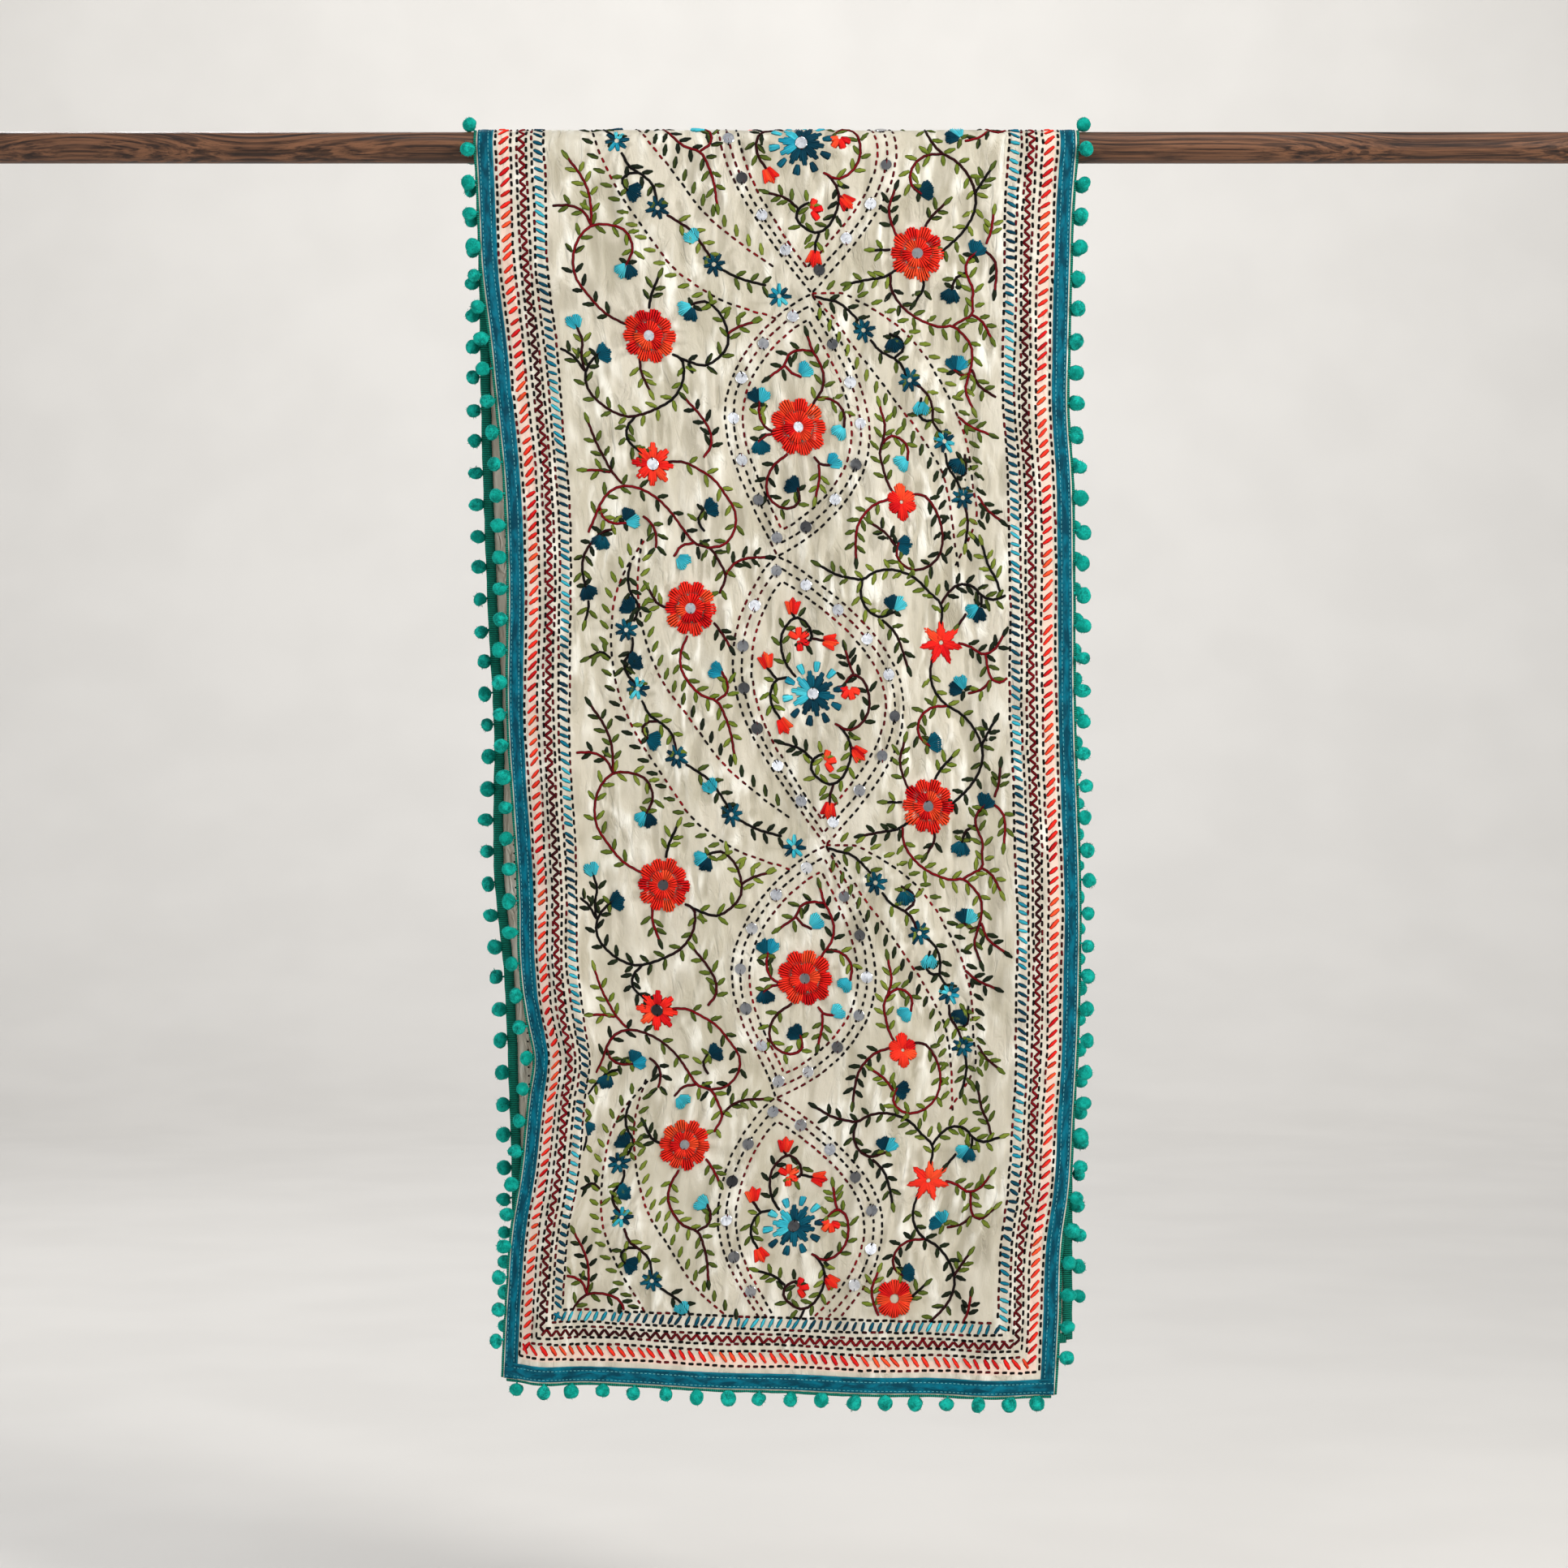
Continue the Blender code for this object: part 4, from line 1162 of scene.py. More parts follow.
def kept_stitches(middle):
    """Which stitches stay: those in the field, without the flowers whose own middles lie in the border."""
    keep = in_field(middle)
    for place, radius in large_flowers():
        if not in_field(place):
            keep &= np.linalg.norm(middle - place, axis=1) > radius
    return keep


def sew_field():
    """The whole field from one charted repeat: the stitches on the cloth, and the mirrors' places."""
    work = Needlework()
    for number, vine in enumerate(VINES):
        sew_vine(work, vine, 71.0 * number)
    for kind, x, run, degrees in BUDS:
        sew_bud(work, np.array([x, run], float), turned(EAST, degrees), kind, 31.0 * x)
    for kind, x, run in FLOWERS:
        sew_flower(work, kind, x, run)
    mirrors = sew_medallions(work) + [(x, run) for kind, x, run in FLOWERS if kind in WITH_MIRROR]
    sew_bands(work)
    mirrors = np.array(mirrors, float)
    sew_mirror_loops(work, mirrors)
    stitches, places = [], []
    for repeat in REPEATS:
        copy = work.table()
        copy[:, ALONG] += 83.0 * repeat
        for part in (START, END):
            copy[:, part] = onto_cloth(*copy[:, part].T, repeat)
        stitches.append(copy)
        places.append(onto_cloth(*mirrors.T, repeat))
    stitches, places = np.concatenate(stitches), np.concatenate(places)
    middle = (stitches[:, START] + stitches[:, END]) / 2.0
    last = Needlework()
    sew_ring(last, np.array(HEM_FLOWER), HEM_RING, 0.0)
    return np.concatenate([stitches[kept_stitches(middle)], last.table()]), places[in_field(places, 6.0)]


def from_edge(side, along, inset):
    """Flat places at an inset from one of the edges: along is a run at the sides and an x at the hems."""
    along, inset = np.broadcast_arrays(np.asarray(along, float), np.asarray(inset, float))
    if side == "left":
        return -HALF_CUT + inset, along
    if side == "right":
        return HALF_CUT - inset, along
    if side == "front_hem":
        return along, FRONT_HEM - inset
    return along, BACK_HEM + inset


class Bars(NamedTuple):
    dye: str
    outer: float
    inner: float
    pitch: float
    width: float
    lean: float


SIDES = ("left", "right", "front_hem", "back_hem")
UPRIGHT = ("left", "right")
MIRRORED_SIDES = ("right", "back_hem")
DASH_INSETS = (16.6, 30.0, 35.6, 44.6, 49.4, 60.2)
DASH_PITCH = 7.6
ZIGZAG_INSET = 40.1
ZIGZAG_HALF = 3.0
ZIGZAG_PITCH = 9.7
# Rows of slanted bars: insets of their ends, pitch and width, and how far each leans along the edge
RED_BARS = Bars("red", 19.6, 28.8, 9.6, 4.1, -7.5)
BLUE_BARS = Bars("blue", 50.4, 59.2, 7.9, 3.7, 4.2)


def lean_of(bars, side):
    return -bars.lean if side in MIRRORED_SIDES else bars.lean


def edge_ends(side, from_hems, from_sides=0.0):
    """Where what is sewn along an edge starts and ends: this far from the hems, or from the sides."""
    if side in UPRIGHT:
        return BACK_HEM + from_hems, FRONT_HEM - from_hems
    return -HALF_CUT + from_sides, HALF_CUT - from_sides


def in_border(side, along, inset):
    """Flat places in the border: its rows lie a little further in at the hems than at the sides."""
    return np.column_stack(from_edge(side, along, inset + (0.0 if side in UPRIGHT else HEM_PLAIN)))


def sew_border():
    """The border of all four edges: rows of running stitch, slanted bars in red and blue, and a zigzag."""
    work = Needlework()
    for turn, side in enumerate(SIDES):
        low, high = edge_ends(side, HEM_PLAIN)
        for row, inset in enumerate(DASH_INSETS):
            along = np.arange(low + inset, high - inset - 4.0, DASH_PITCH)
            along = along + work.chance.normal(0.0, 0.35, len(along))
            sway = inset + 0.5 * np.sin(along / 23.0 + row) + work.chance.normal(0.0, 0.16, len(along))
            start = in_border(side, along, sway)
            end = in_border(side, along + 5.2, sway + work.chance.normal(0.0, 0.3, len(along)))
            work.add(start, end, 2.55, 1.05, "dash", 140.0 * row + 3.0 * along)
        knee = np.arange(low + ZIGZAG_INSET, high - ZIGZAG_INSET, ZIGZAG_PITCH / 2.0)
        away = np.where(np.arange(len(knee)) % 2 == 0, -ZIGZAG_HALF, ZIGZAG_HALF)
        away = ZIGZAG_INSET + away + work.chance.normal(0.0, 0.35, len(knee))
        corners = in_border(side, knee, away)
        work.add(corners[:-1], corners[1:], 2.9, 1.15, "maroon", 500.0 * turn + knee[:-1] * 0.6)
        for bars in (RED_BARS, BLUE_BARS):
            along = np.arange(low + bars.outer + 4.0, high - bars.outer - 4.0, bars.pitch)
            along = along + work.chance.normal(0.0, 0.6, len(along))
            tilt = lean_of(bars, side) + work.chance.normal(0.0, 1.1, len(along))
            start = in_border(side, along - tilt / 2.0, bars.outer)
            end = in_border(side, along + tilt / 2.0, bars.inner)
            start = start + work.chance.normal(0.0, 0.3, start.shape)
            width = bars.width * work.chance.uniform(0.88, 1.10, len(along))
            work.add(start, end, width, 1.75, bars.dye, 900.0 * turn + along, ends=ROUNDED)
    return work.table()


UNDER_SILK = -0.65


def sew_wrong_side():
    """What shows on the wrong side near the sides: the backs of the first dashes and of the red bars."""
    work = Needlework()
    for side in UPRIGHT:
        along = np.arange(BACK_HEM + 24.0, FRONT_HEM - 24.0, DASH_PITCH)
        along = along[np.abs(along) > TURN + 6.0]
        start = np.column_stack(from_edge(side, along + 5.6, DASH_INSETS[0]))
        end = np.column_stack(from_edge(side, along + 7.4, DASH_INSETS[0]))
        work.add(start, end, 1.6, -0.7, "dash", 3.0 * along, UNDER_SILK)
        along = np.arange(BACK_HEM + 28.0, FRONT_HEM - 28.0, RED_BARS.pitch)
        along = along[np.abs(along) > TURN + 10.0]
        tilt = 0.4 * lean_of(RED_BARS, side) + work.chance.normal(0.0, 1.4, len(along))
        start = np.column_stack(from_edge(side, along - tilt / 2.0, RED_BARS.outer))
        end = np.column_stack(from_edge(side, along + tilt / 2.0, RED_BARS.inner))
        work.add(start, end, 1.9, -0.8, "red", along, UNDER_SILK)
    return work.table()


# A strand's corners: its start, three at each station, and its end. Each of the three lies sideways and
# upward by a share of the strand's width and height.
LENS_STATIONS = (0.08, 0.50, 0.92)
LENS_SIDES = ((0.5, 0.0), (0.0, 1.0), (-0.5, 0.0))
LENS_CORNERS = 11
LENS_TIPS = ((0, 2, 1), (0, 3, 2), (0, 1, 3), (10, 7, 8), (10, 8, 9), (10, 9, 7))
LENS_WALLS = tuple(
    tuple(corner + station for corner in wall)
    for wall in ((1, 2, 5, 4), (2, 3, 6, 5), (3, 1, 4, 6)) for station in (0, 3)
)
SHORTEST_STRAND = 0.1
DYE_ALONG_STRAND = 6.0


def make_strands(name, silk, table, material):
    """Strands as closed three-sided tubes with pointed ends, thickest in the middle.

    At each of three stations it has a left foot, a top and a right foot; its width and height there are its
    own times the station's fullness. A height below 0 puts it on the cloth's wrong side.
    """
    count = len(table)
    start, lift, height = table[:, START], table[:, LIFT], table[:, HEIGHT]
    step = table[:, END] - start
    length = np.hypot(step[:, 0], step[:, 1])
    ahead = step / np.maximum(length, SHORTEST_STRAND)[:, None]
    left = np.stack([ahead[:, 1], -ahead[:, 0]], axis=1) * np.sign(height)[:, None]
    place = np.zeros((count, LENS_CORNERS, 2))
    raised = np.zeros((count, LENS_CORNERS))
    flat = np.zeros((count, LENS_CORNERS, 2))
    place[:, 0], place[:, -1] = start, table[:, END]
    raised[:, 0] = raised[:, -1] = lift
    flat[:, 0, 1] = flat[:, -1, 1] = 0.5
    flat[:, -1, 0] = length * MM
    fullness = (table[:, FOOT], np.ones(count), table[:, TIP])
    for number, (station, full) in enumerate(zip(LENS_STATIONS, fullness)):
        for corner, (sideways, upward) in enumerate(LENS_SIDES):
            spot = 1 + len(LENS_SIDES) * number + corner
            place[:, spot] = start + step * station + left * (sideways * full * table[:, WIDTH])[:, None]
            raised[:, spot] = lift + upward * full * height
            flat[:, spot, 0] = length * station * MM
            flat[:, spot, 1] = corner / 2.0
    points = on_silk(silk, place[:, :, 0], place[:, :, 1], raised)
    faces = [copied(shape, LENS_CORNERS, count) for shape in (LENS_TIPS, LENS_WALLS)]
    dyes_and_painted_light = np.zeros((count, LENS_CORNERS, 3))
    along = table[:, ALONG, None] + np.linspace(0.0, 1.0, LENS_CORNERS) * DYE_ALONG_STRAND
    for number, dye in enumerate(DYES):
        rows = table[:, DYE] == number
        dyes_and_painted_light[rows] = dyed(dye, along[rows])
    tone = 1.0 + np.random.default_rng(17).normal(0.0, 0.10, (count, 1, 1))
    return make_mesh(name, points, faces, material, flat, dyes_and_painted_light * np.clip(tone, 0.8, 1.2))


MIRROR_SIDES = 22
# A mirror's rings, from its foot over its bevelled rim: radius as a share of its own, and height
MIRROR_RINGS = ((1.00, 0.10), (1.00, 0.50), (0.96, 0.62))
MIRROR_LIFT = 0.35
MIRROR_TINT = (0.97, 0.99, 1.03)
# Painted reflections: how bright each mirror's colour is made, as if some caught a white card and some a dark
# corner
MIRROR_PAINTED_REFLECTIONS = (0.95, 0.95, 0.90, 0.70, 0.52, 0.40, 0.30, 0.22, 0.08)
# How far to each side of its middle a mirror reads the silk's slope
SLOPE_REACH = 5.0


def make_mirrors(name, silk, places, material):
    """Small round mirrors: a flat disc with a bevelled rim, each tilted a little its own way and with its own
    painted reflection brightness.
    """
    chance = np.random.default_rng(23)
    count, rings = len(places), np.array(MIRROR_RINGS)
    around = np.linspace(0.0, 2.0 * np.pi, MIRROR_SIDES, endpoint=False)
    tilt = chance.normal(0.0, 0.060, (count, 2))
    radius = MIRROR_RADIUS * chance.uniform(0.94, 1.04, count)
    reach = radius[:, None, None] * rings[None, :, :1]
    offset_x, offset_run = reach * np.cos(around), reach * np.sin(around)
    x, run = places.T
    centre = on_silk(silk, x, run, 0.0)
    east = unit(on_silk(silk, x + SLOPE_REACH, run, 0.0) - on_silk(silk, x - SLOPE_REACH, run, 0.0))
    south = unit(on_silk(silk, x, run + SLOPE_REACH, 0.0) - on_silk(silk, x, run - SLOPE_REACH, 0.0))
    out = unit(np.cross(south, east))
    lift = rings[None, :, 1:] + tilt[:, :1, None] * offset_x + tilt[:, 1:, None] * offset_run + MIRROR_LIFT
    points = centre[:, None, None, :] + (
        offset_x[..., None] * east[:, None, None, :]
        + offset_run[..., None] * south[:, None, None, :]
        + lift[..., None] * out[:, None, None, :]
    ) * MM
    points = points.reshape(count, -1, 3)
    rim = (len(rings) - 1) * MIRROR_SIDES
    points = np.concatenate([points, points[:, rim:].mean(axis=1, keepdims=True)], axis=1)
    corners = points.shape[1]
    numbers = rim + np.arange(MIRROR_SIDES)
    disc = np.column_stack([numbers, np.roll(numbers, -1), np.full(MIRROR_SIDES, corners - 1)])
    shapes = (disc, grid_faces(len(rings), MIRROR_SIDES, around=True))
    flat = np.stack([offset_x, offset_run], axis=-1).reshape(count, -1, 2) * MM
    flat = np.concatenate([flat, np.zeros((count, 1, 2))], axis=1) + np.arange(count)[:, None, None] * 0.1
    # Painted reflection: each mirror's colour is made brighter or darker, standing in for what it would
    # reflect
    tone = np.array(MIRROR_PAINTED_REFLECTIONS)[chance.integers(0, len(MIRROR_PAINTED_REFLECTIONS), count)]
    tone = tone * chance.uniform(0.9, 1.05, count)
    dyes_and_painted_light = np.repeat(tone[:, None, None] * np.array(MIRROR_TINT), corners, axis=1)
    faces = [copied(shape, corners, count) for shape in shapes]
    made = make_mesh(name, points, faces, material, flat, dyes_and_painted_light)
    face_outward(made)
    made.data.set_sharp_from_angle(angle=RIM_ANGLE)
    return made


def face_outward(made):
    """Turns every face of a closed piece outward."""
    board = bmesh.new()
    board.from_mesh(made.data)
    bmesh.ops.recalc_face_normals(board, faces=board.faces)
    board.to_mesh(made.data)
    board.free()


def edge_steps(side, from_hems, from_sides, step):
    """Places along an edge, about a step apart, that stop short of the hems or of the sides."""
    low, high = edge_ends(side, from_hems, from_sides)
    return np.linspace(low, high, int((high - low) / step))


def edge_band(name, silk, side, along, profile, material):
    """A closed band sewn along an edge.

    Its profile, a ring of insets and lifts for each place along it, goes over its top from the inside.
    """
    inset, lift = profile[:, :, 0], profile[:, :, 1]
    x, run = from_edge(side, along[:, None], inset)
    faces = [grid_faces(*inset.shape, around=True)[:, ::-1], *tube_ends(*inset.shape)]
    if side in MIRRORED_SIDES:
        faces = [part[:, ::-1] for part in faces]
    flat = np.stack(np.broadcast_arrays(along[:, None], inset), axis=-1) * MM
    made = make_mesh(name, on_silk(silk, x, run, lift), faces, material, flat)
    face_outward(made)
    return made


# Ribbon's section: insets from the cloth's edge and lifts, over its face from its inner to its outer edge.
# It dips along its lines of topstitching.
RIBBON_INNER = 14.5
RIBBON_OUTER = 1.1
RIBBON_MIDDLE = 7.5
TOPSTITCH_LINES = (2.9, 10.6)
TOPSTITCH_PITCH = 4.0
RIBBON_SECTION = (
    (RIBBON_INNER, 0.05), (RIBBON_INNER, 0.40), (13.6, 0.66), (12.6, 0.42), (11.6, 0.66),
    (10.6, 0.44), (9.6, 0.72), (6.2, 0.86), (3.8, 0.72), (2.9, 0.44), (2.1, 0.66), (RIBBON_OUTER, 0.40),
    (RIBBON_OUTER, 0.05),
)
RIBBON_STEP = 4.5
# The hems' ribbons lie over the side ones
HEM_RIBBON_LIFT = 0.25


def make_ribbons(silk, material):
    """Satin ribbon down both sides, in one length over the rod, and across both hems.

    Its face swells and sinks a little along it, and its inner edge wavers.
    """
    section = np.array(RIBBON_SECTION)
    on_top = (section[:, 1] > 0.2).astype(float)
    inward = (section[:, 0] - RIBBON_OUTER) / (RIBBON_INNER - RIBBON_OUTER)
    made = []
    for number, side in enumerate(SIDES):
        along = edge_steps(side, 0.4, 1.0, RIBBON_STEP)
        row = np.full(len(along), float(number))
        swell = 0.16 * soft_noise(along / 7.0 + 50.0, row, 31)
        waver = 0.45 * soft_noise(along / 55.0 + 20.0, row, 32)
        waver = waver + 0.15 * soft_noise(along / 6.0 + 20.0, row, 33)
        over = 0.0 if side in UPRIGHT else HEM_RIBBON_LIFT
        profile = np.repeat(section[None], len(along), axis=0)
        profile[:, :, 0] += waver[:, None] * inward
        profile[:, :, 1] += on_top * swell[:, None] + over * on_top
        made.append(edge_band(f"satin_ribbon_{side}", silk, side, along, profile, material))
    return made


# Braid's section on the wrong side and round the edge, from its inner edge over the wrong side and back
BRAID_SECTION = (
    (6.8, -0.70), (0.3, -0.68), (0.05, -0.20), (-0.5, 0.15), (-1.6, 0.12), (-2.4, -0.55),
    (-1.9, -1.75), (0.2, -2.15), (3.6, -1.95), (6.5, -1.75),
)
BRAID_STEP = 6.0


def make_braids(silk, material):
    """The pompoms' braid: flat on the edge's wrong side, with a narrow lip that shows past the ribbon."""
    made = []
    for number, side in enumerate(SIDES):
        along = edge_steps(side, 0.6, 3.0, BRAID_STEP)
        waver = 0.35 * soft_noise(along / 9.0 + 70.0, np.full(len(along), float(number)), 41)
        profile = np.repeat(np.array(BRAID_SECTION)[None], len(along), axis=0)
        profile[:, :, 0] += waver[:, None]
        made.append(edge_band(f"pompom_braid_{side}", silk, side, along, profile, material))
    return made


def pompom_places():
    """Each ball's middle, the way it hangs, and whether it is on the front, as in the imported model."""
    middles, ways, fronts = [], [], []

    def hang(point, out, front):
        way = unit(out + np.array([0.0, 0.0, -SIDE_DROOP]))
        middles.append(point + out * (GAP + STRIP_WIDTH) + way * POMPOM_REACH)
        ways.append(way)
        fronts.append(front)

    for drop in (FRONT, BACK):
        front = drop is FRONT
        runs = np.arange(2, drop.last_pompom + 1) * POMPOM_PITCH * -drop.way
        points, across, _, _ = cloth_frame(runs, np.array([-1.0, 1.0]))
        for row in range(len(runs)):
            hang(points[row, 0], -across[row, 0], front)
            hang(points[row, 1], across[row, 1], front)
        spots = -1.0 + 2.0 * (np.arange(drop.hem_pompoms) + 0.5) / drop.hem_pompoms
        points, _, along, _ = cloth_frame(np.array([-drop.way * (hem_run(drop) - STEP)]), spots)
        for column in range(len(spots)):
            hang(points[0, column], along[0, column] * -drop.way, front)
    runs = np.array([-POMPOM_PITCH, 0.0, POMPOM_PITCH])
    points, across, _, face = cloth_frame(runs, np.array([-1.0, 1.0]))
    for row in range(len(runs)):
        for column, sign in ((0, -1.0), (1, 1.0)):
            out = across[row, column] * sign
            way = out * OVER_ROD_OUTWARD + face[row, column] * OVER_ROD_UPWARD
            middles.append(points[row, column] + out * (GAP + STRIP_WIDTH) + way)
            ways.append(unit(way))
            fronts.append(True)
    return np.array(middles), np.array(ways), np.array(fronts)


LUMPS = 9
LOOSE_ENDS = 34
CONE_FACES = ((0, 1, 3), (1, 2, 3), (2, 0, 3), (0, 2, 1))
NECK_SIDES = 5
# A neck's rings: how far behind the ball's middle each lies, and its radius
NECK_RINGS = ((0.0078, 0.0011), (0.0050, 0.0008), (0.0030, 0.0014))


def ball():
    """A round ball of radius 1, of three-cornered faces."""
    board = bmesh.new()
    bmesh.ops.create_icosphere(board, subdivisions=3, radius=1.0)
    points = np.array([vert.co[:] for vert in board.verts])
    faces = np.array([[vert.index for vert in face.verts] for face in board.faces])
    board.free()
    return points, faces


def loose_ends(middles, sizes, chance):
    """Wool that stands out of each ball at random directions: thin cones of three sides."""
    shape = (len(middles), LOOSE_ENDS, 3)
    toward = unit(chance.normal(0.0, 1.0, shape))
    side = unit(np.cross(toward, unit(chance.normal(0.0, 1.0, shape))))
    other = np.cross(toward, side)
    foot = middles + toward * sizes * 0.90
    tip = foot + toward * chance.uniform(0.0010, 0.0024, (*shape[:2], 1)) + side * 0.0006
    behind = foot - side * 0.0002
    corners = [foot + side * 0.0004, behind + other * 0.0003, behind - other * 0.0003, tip]
    return np.stack(corners, axis=2).reshape(-1, len(corners), 3)


def yarn_necks(middles, ways):
    """A short neck of yarn behind each ball: small rings round the way it hangs."""
    around = np.linspace(0.0, 2.0 * np.pi, NECK_SIDES, endpoint=False)
    sideways = unit(np.cross(ways, np.array([0.2, 0.9, 0.3])))
    upward = np.cross(ways, sideways)
    cosine, sine = np.cos(around)[None, :, None], np.sin(around)[None, :, None]
    spokes = sideways[:, None] * cosine + upward[:, None] * sine
    rings = [middles[:, None, :] - ways[:, None, :] * back + spokes * thick for back, thick in NECK_RINGS]
    return np.concatenate(rings, axis=1)


def make_pompoms(name, middles, ways, seed, material):
    """Wool balls: each a ball with its own lumps, one flatter than the next, with loose ends and a neck.

    A lump is a bell-shaped rise or hollow round a random direction.
    """
    chance = np.random.default_rng(seed)
    points, ball_faces = ball()
    count = len(middles)
    lumps = unit(chance.normal(0.0, 1.0, (count, LUMPS, 3)))
    heights = chance.uniform(-0.22, 0.14, (count, LUMPS))
    nearness = np.einsum("pk,clk->cpl", points, lumps)
    radius = 1.0 + (heights[:, None, :] * np.exp((nearness - 1.0) * 9.0)).sum(axis=2)
    radius += chance.normal(0.0, 0.012, radius.shape)
    sizes = POMPOM_RADIUS * chance.uniform(0.88, 1.12, (count, 1, 3))
    shifted = middles[:, None, :] + chance.normal(0.0, 0.0006, (count, 1, 3))
    shapes = (
        (shifted + points[None] * radius[:, :, None] * sizes, ball_faces),
        (loose_ends(shifted, sizes, chance), CONE_FACES),
        (yarn_necks(middles, ways), grid_faces(len(NECK_RINGS), NECK_SIDES, around=True)),
    )
    every, faces, used = [], [], 0
    for corners, shape_faces in shapes:
        every.append(corners.reshape(-1, 3))
        faces.append(copied(shape_faces, corners.shape[1], len(corners), used))
        used += len(every[-1])
    return make_mesh(name, np.concatenate(every), faces, material)


ROD_ROUNDING = 0.0012
ROD_RINGS = 40
ROD_SIDES = 48
ROD_WAVER = 0.00012
GRAIN_WANDER = 0.11


def make_rod(material):
    """The turned rod: circles along its length, with softly rounded ends and a slight waver in radius."""
    arc = np.linspace(0.0, np.pi / 2.0, 6)
    inner = ROD_LENGTH / 2.0 - ROD_ROUNDING
    past = ROD_ROUNDING * np.sin(arc)
    rounded = ROD_RADIUS - ROD_ROUNDING + ROD_ROUNDING * np.cos(arc)
    between = np.linspace(-inner, inner, ROD_RINGS + 2)[1:-1]
    stations = np.concatenate([-inner - past[::-1], between, inner + past])
    radius = np.concatenate([rounded[::-1], np.full(ROD_RINGS, ROD_RADIUS), rounded])
    waver = (1.0 + soft_noise(stations * 21.0 + 5.0, np.zeros(len(stations)), 51)) / 2.0
    radius = radius - ROD_WAVER * waver
    around = np.linspace(0.0, 2.0 * np.pi, ROD_SIDES, endpoint=False)
    points = np.zeros((len(stations), ROD_SIDES, 3))
    points[:, :, 0] = stations[:, None]
    points[:, :, 1] = radius[:, None] * np.cos(around)
    points[:, :, 2] = radius[:, None] * np.sin(around)
    faces = [grid_faces(*points.shape[:2], around=True), *tube_ends(*points.shape[:2])]
    made = make_mesh("turned_rod", points, faces, material)
    face_outward(made)
    made.data.set_sharp_from_angle(angle=SHARP_ANGLE)
    return made


# Materials

def put(tree, kind, values=None, **settings):
    """Adds a node, sets it up, and gives each named or numbered input a value or a socket to read from."""
    node = tree.nodes.new(kind)
    for name, value in settings.items():
        setattr(node, name, value)
    for name, value in (values or {}).items():
        if isinstance(value, bpy.types.NodeSocket):
            tree.links.new(value, node.inputs[name])
        else:
            node.inputs[name].default_value = value
    return node


def maths(tree, operation, *values):
    """A step of arithmetic between numbers and sockets."""
    return put(tree, "ShaderNodeMath", dict(enumerate(values)), operation=operation).outputs[0]


def plus(tree, first, second):
    return maths(tree, "ADD", first, second)


def times(tree, first, second):
    return maths(tree, "MULTIPLY", first, second)


def apart(tree, first, second):
    """How far two numbers lie from each other."""
    return maths(tree, "ABSOLUTE", maths(tree, "SUBTRACT", first, second))


def wave(tree, value, length):
    """Goes from -1 to 1 and back once in each length."""
    return maths(tree, "SINE", times(tree, value, 2.0 * np.pi / length))


def blended(tree, share, first, second, mode="MIX"):
    """Mixes two colours by a share from 0 to 1."""
    node = put(tree, "ShaderNodeMix", {0: share, 6: first, 7: second}, data_type="RGBA", blend_type=mode)
    return node.outputs[2]


def ranged(tree, value, low, high, to_low=0.0, to_high=1.0):
    """Moves a value from one range to another, with eased ends."""
    values = {"Value": value, "From Min": low, "From Max": high, "To Min": to_low, "To Max": to_high}
    return put(tree, "ShaderNodeMapRange", values, interpolation_type="SMOOTHSTEP").outputs["Result"]


def noise(tree, vector, scale, detail=2.0, roughness=0.5, distortion=0.0):
    """Smooth noise from 0 to 1, with so many cells in a metre: one number, or one for each axis."""
    if isinstance(scale, tuple):
        vector = put(tree, "ShaderNodeVectorMath", {0: vector, 1: scale}, operation="MULTIPLY").outputs[0]
        scale = 1.0
    values = {"Vector": vector, "Scale": scale, "Detail": detail}
    values.update({"Roughness": roughness, "Distortion": distortion})
    return put(tree, "ShaderNodeTexNoise", values).outputs["Fac"]


def shade(red, green, blue):
    return (*linear(red, green, blue), 1.0)


def parts_of(tree, vector):
    return put(tree, "ShaderNodeSeparateXYZ", {0: vector}).outputs


def flat_coordinates(tree):
    return put(tree, "ShaderNodeUVMap", uv_map="flat").outputs[0]


def own_place(tree):
    return put(tree, "ShaderNodeTexCoord").outputs["Object"]


# Reads the dye attribute: the threads' dye, and painted light on the mirrors and the silk
def own_dye_and_painted_light(tree):
    return put(tree, "ShaderNodeAttribute", attribute_name="dye", attribute_type="GEOMETRY").outputs


def new_group(name, inputs):
    """A shared effect: an empty node group with a height and a tone. Gives its tree, start and end."""
    tree = bpy.data.node_groups.new(name, "ShaderNodeTree")
    for label, kind, default in inputs:
        socket = tree.interface.new_socket(label, in_out="INPUT", socket_type=kind)
        if default is not None:
            socket.default_value = default
    for label in ("Height", "Tone"):
        tree.interface.new_socket(label, in_out="OUTPUT", socket_type="NodeSocketFloat")
    return tree, tree.nodes.new("NodeGroupInput"), tree.nodes.new("NodeGroupOutput")


def fine_weave_group():
    """Plain weave: bands of warp and weft under each other, for bump and a slight change of tone."""
    inputs = (("Flat", "NodeSocketVector", None), ("Threads per mm", "NodeSocketFloat", 3.0))
    tree, start, end = new_group("fine_weave", inputs)
    across, along, _ = parts_of(tree, start.outputs["Flat"])
    turns = times(tree, start.outputs["Threads per mm"], 2.0 * np.pi / MM)
    warp = maths(tree, "SINE", times(tree, across, turns))
    weft = maths(tree, "SINE", times(tree, along, turns))
    slub = noise(tree, start.outputs["Flat"], (900.0, 60.0, 1.0), 3.0)
    height = plus(tree, times(tree, times(tree, warp, weft), 0.5), slub)
    tree.links.new(height, end.inputs["Height"])
    tree.links.new(ranged(tree, slub, 0.3, 0.7), end.inputs["Tone"])
    return tree


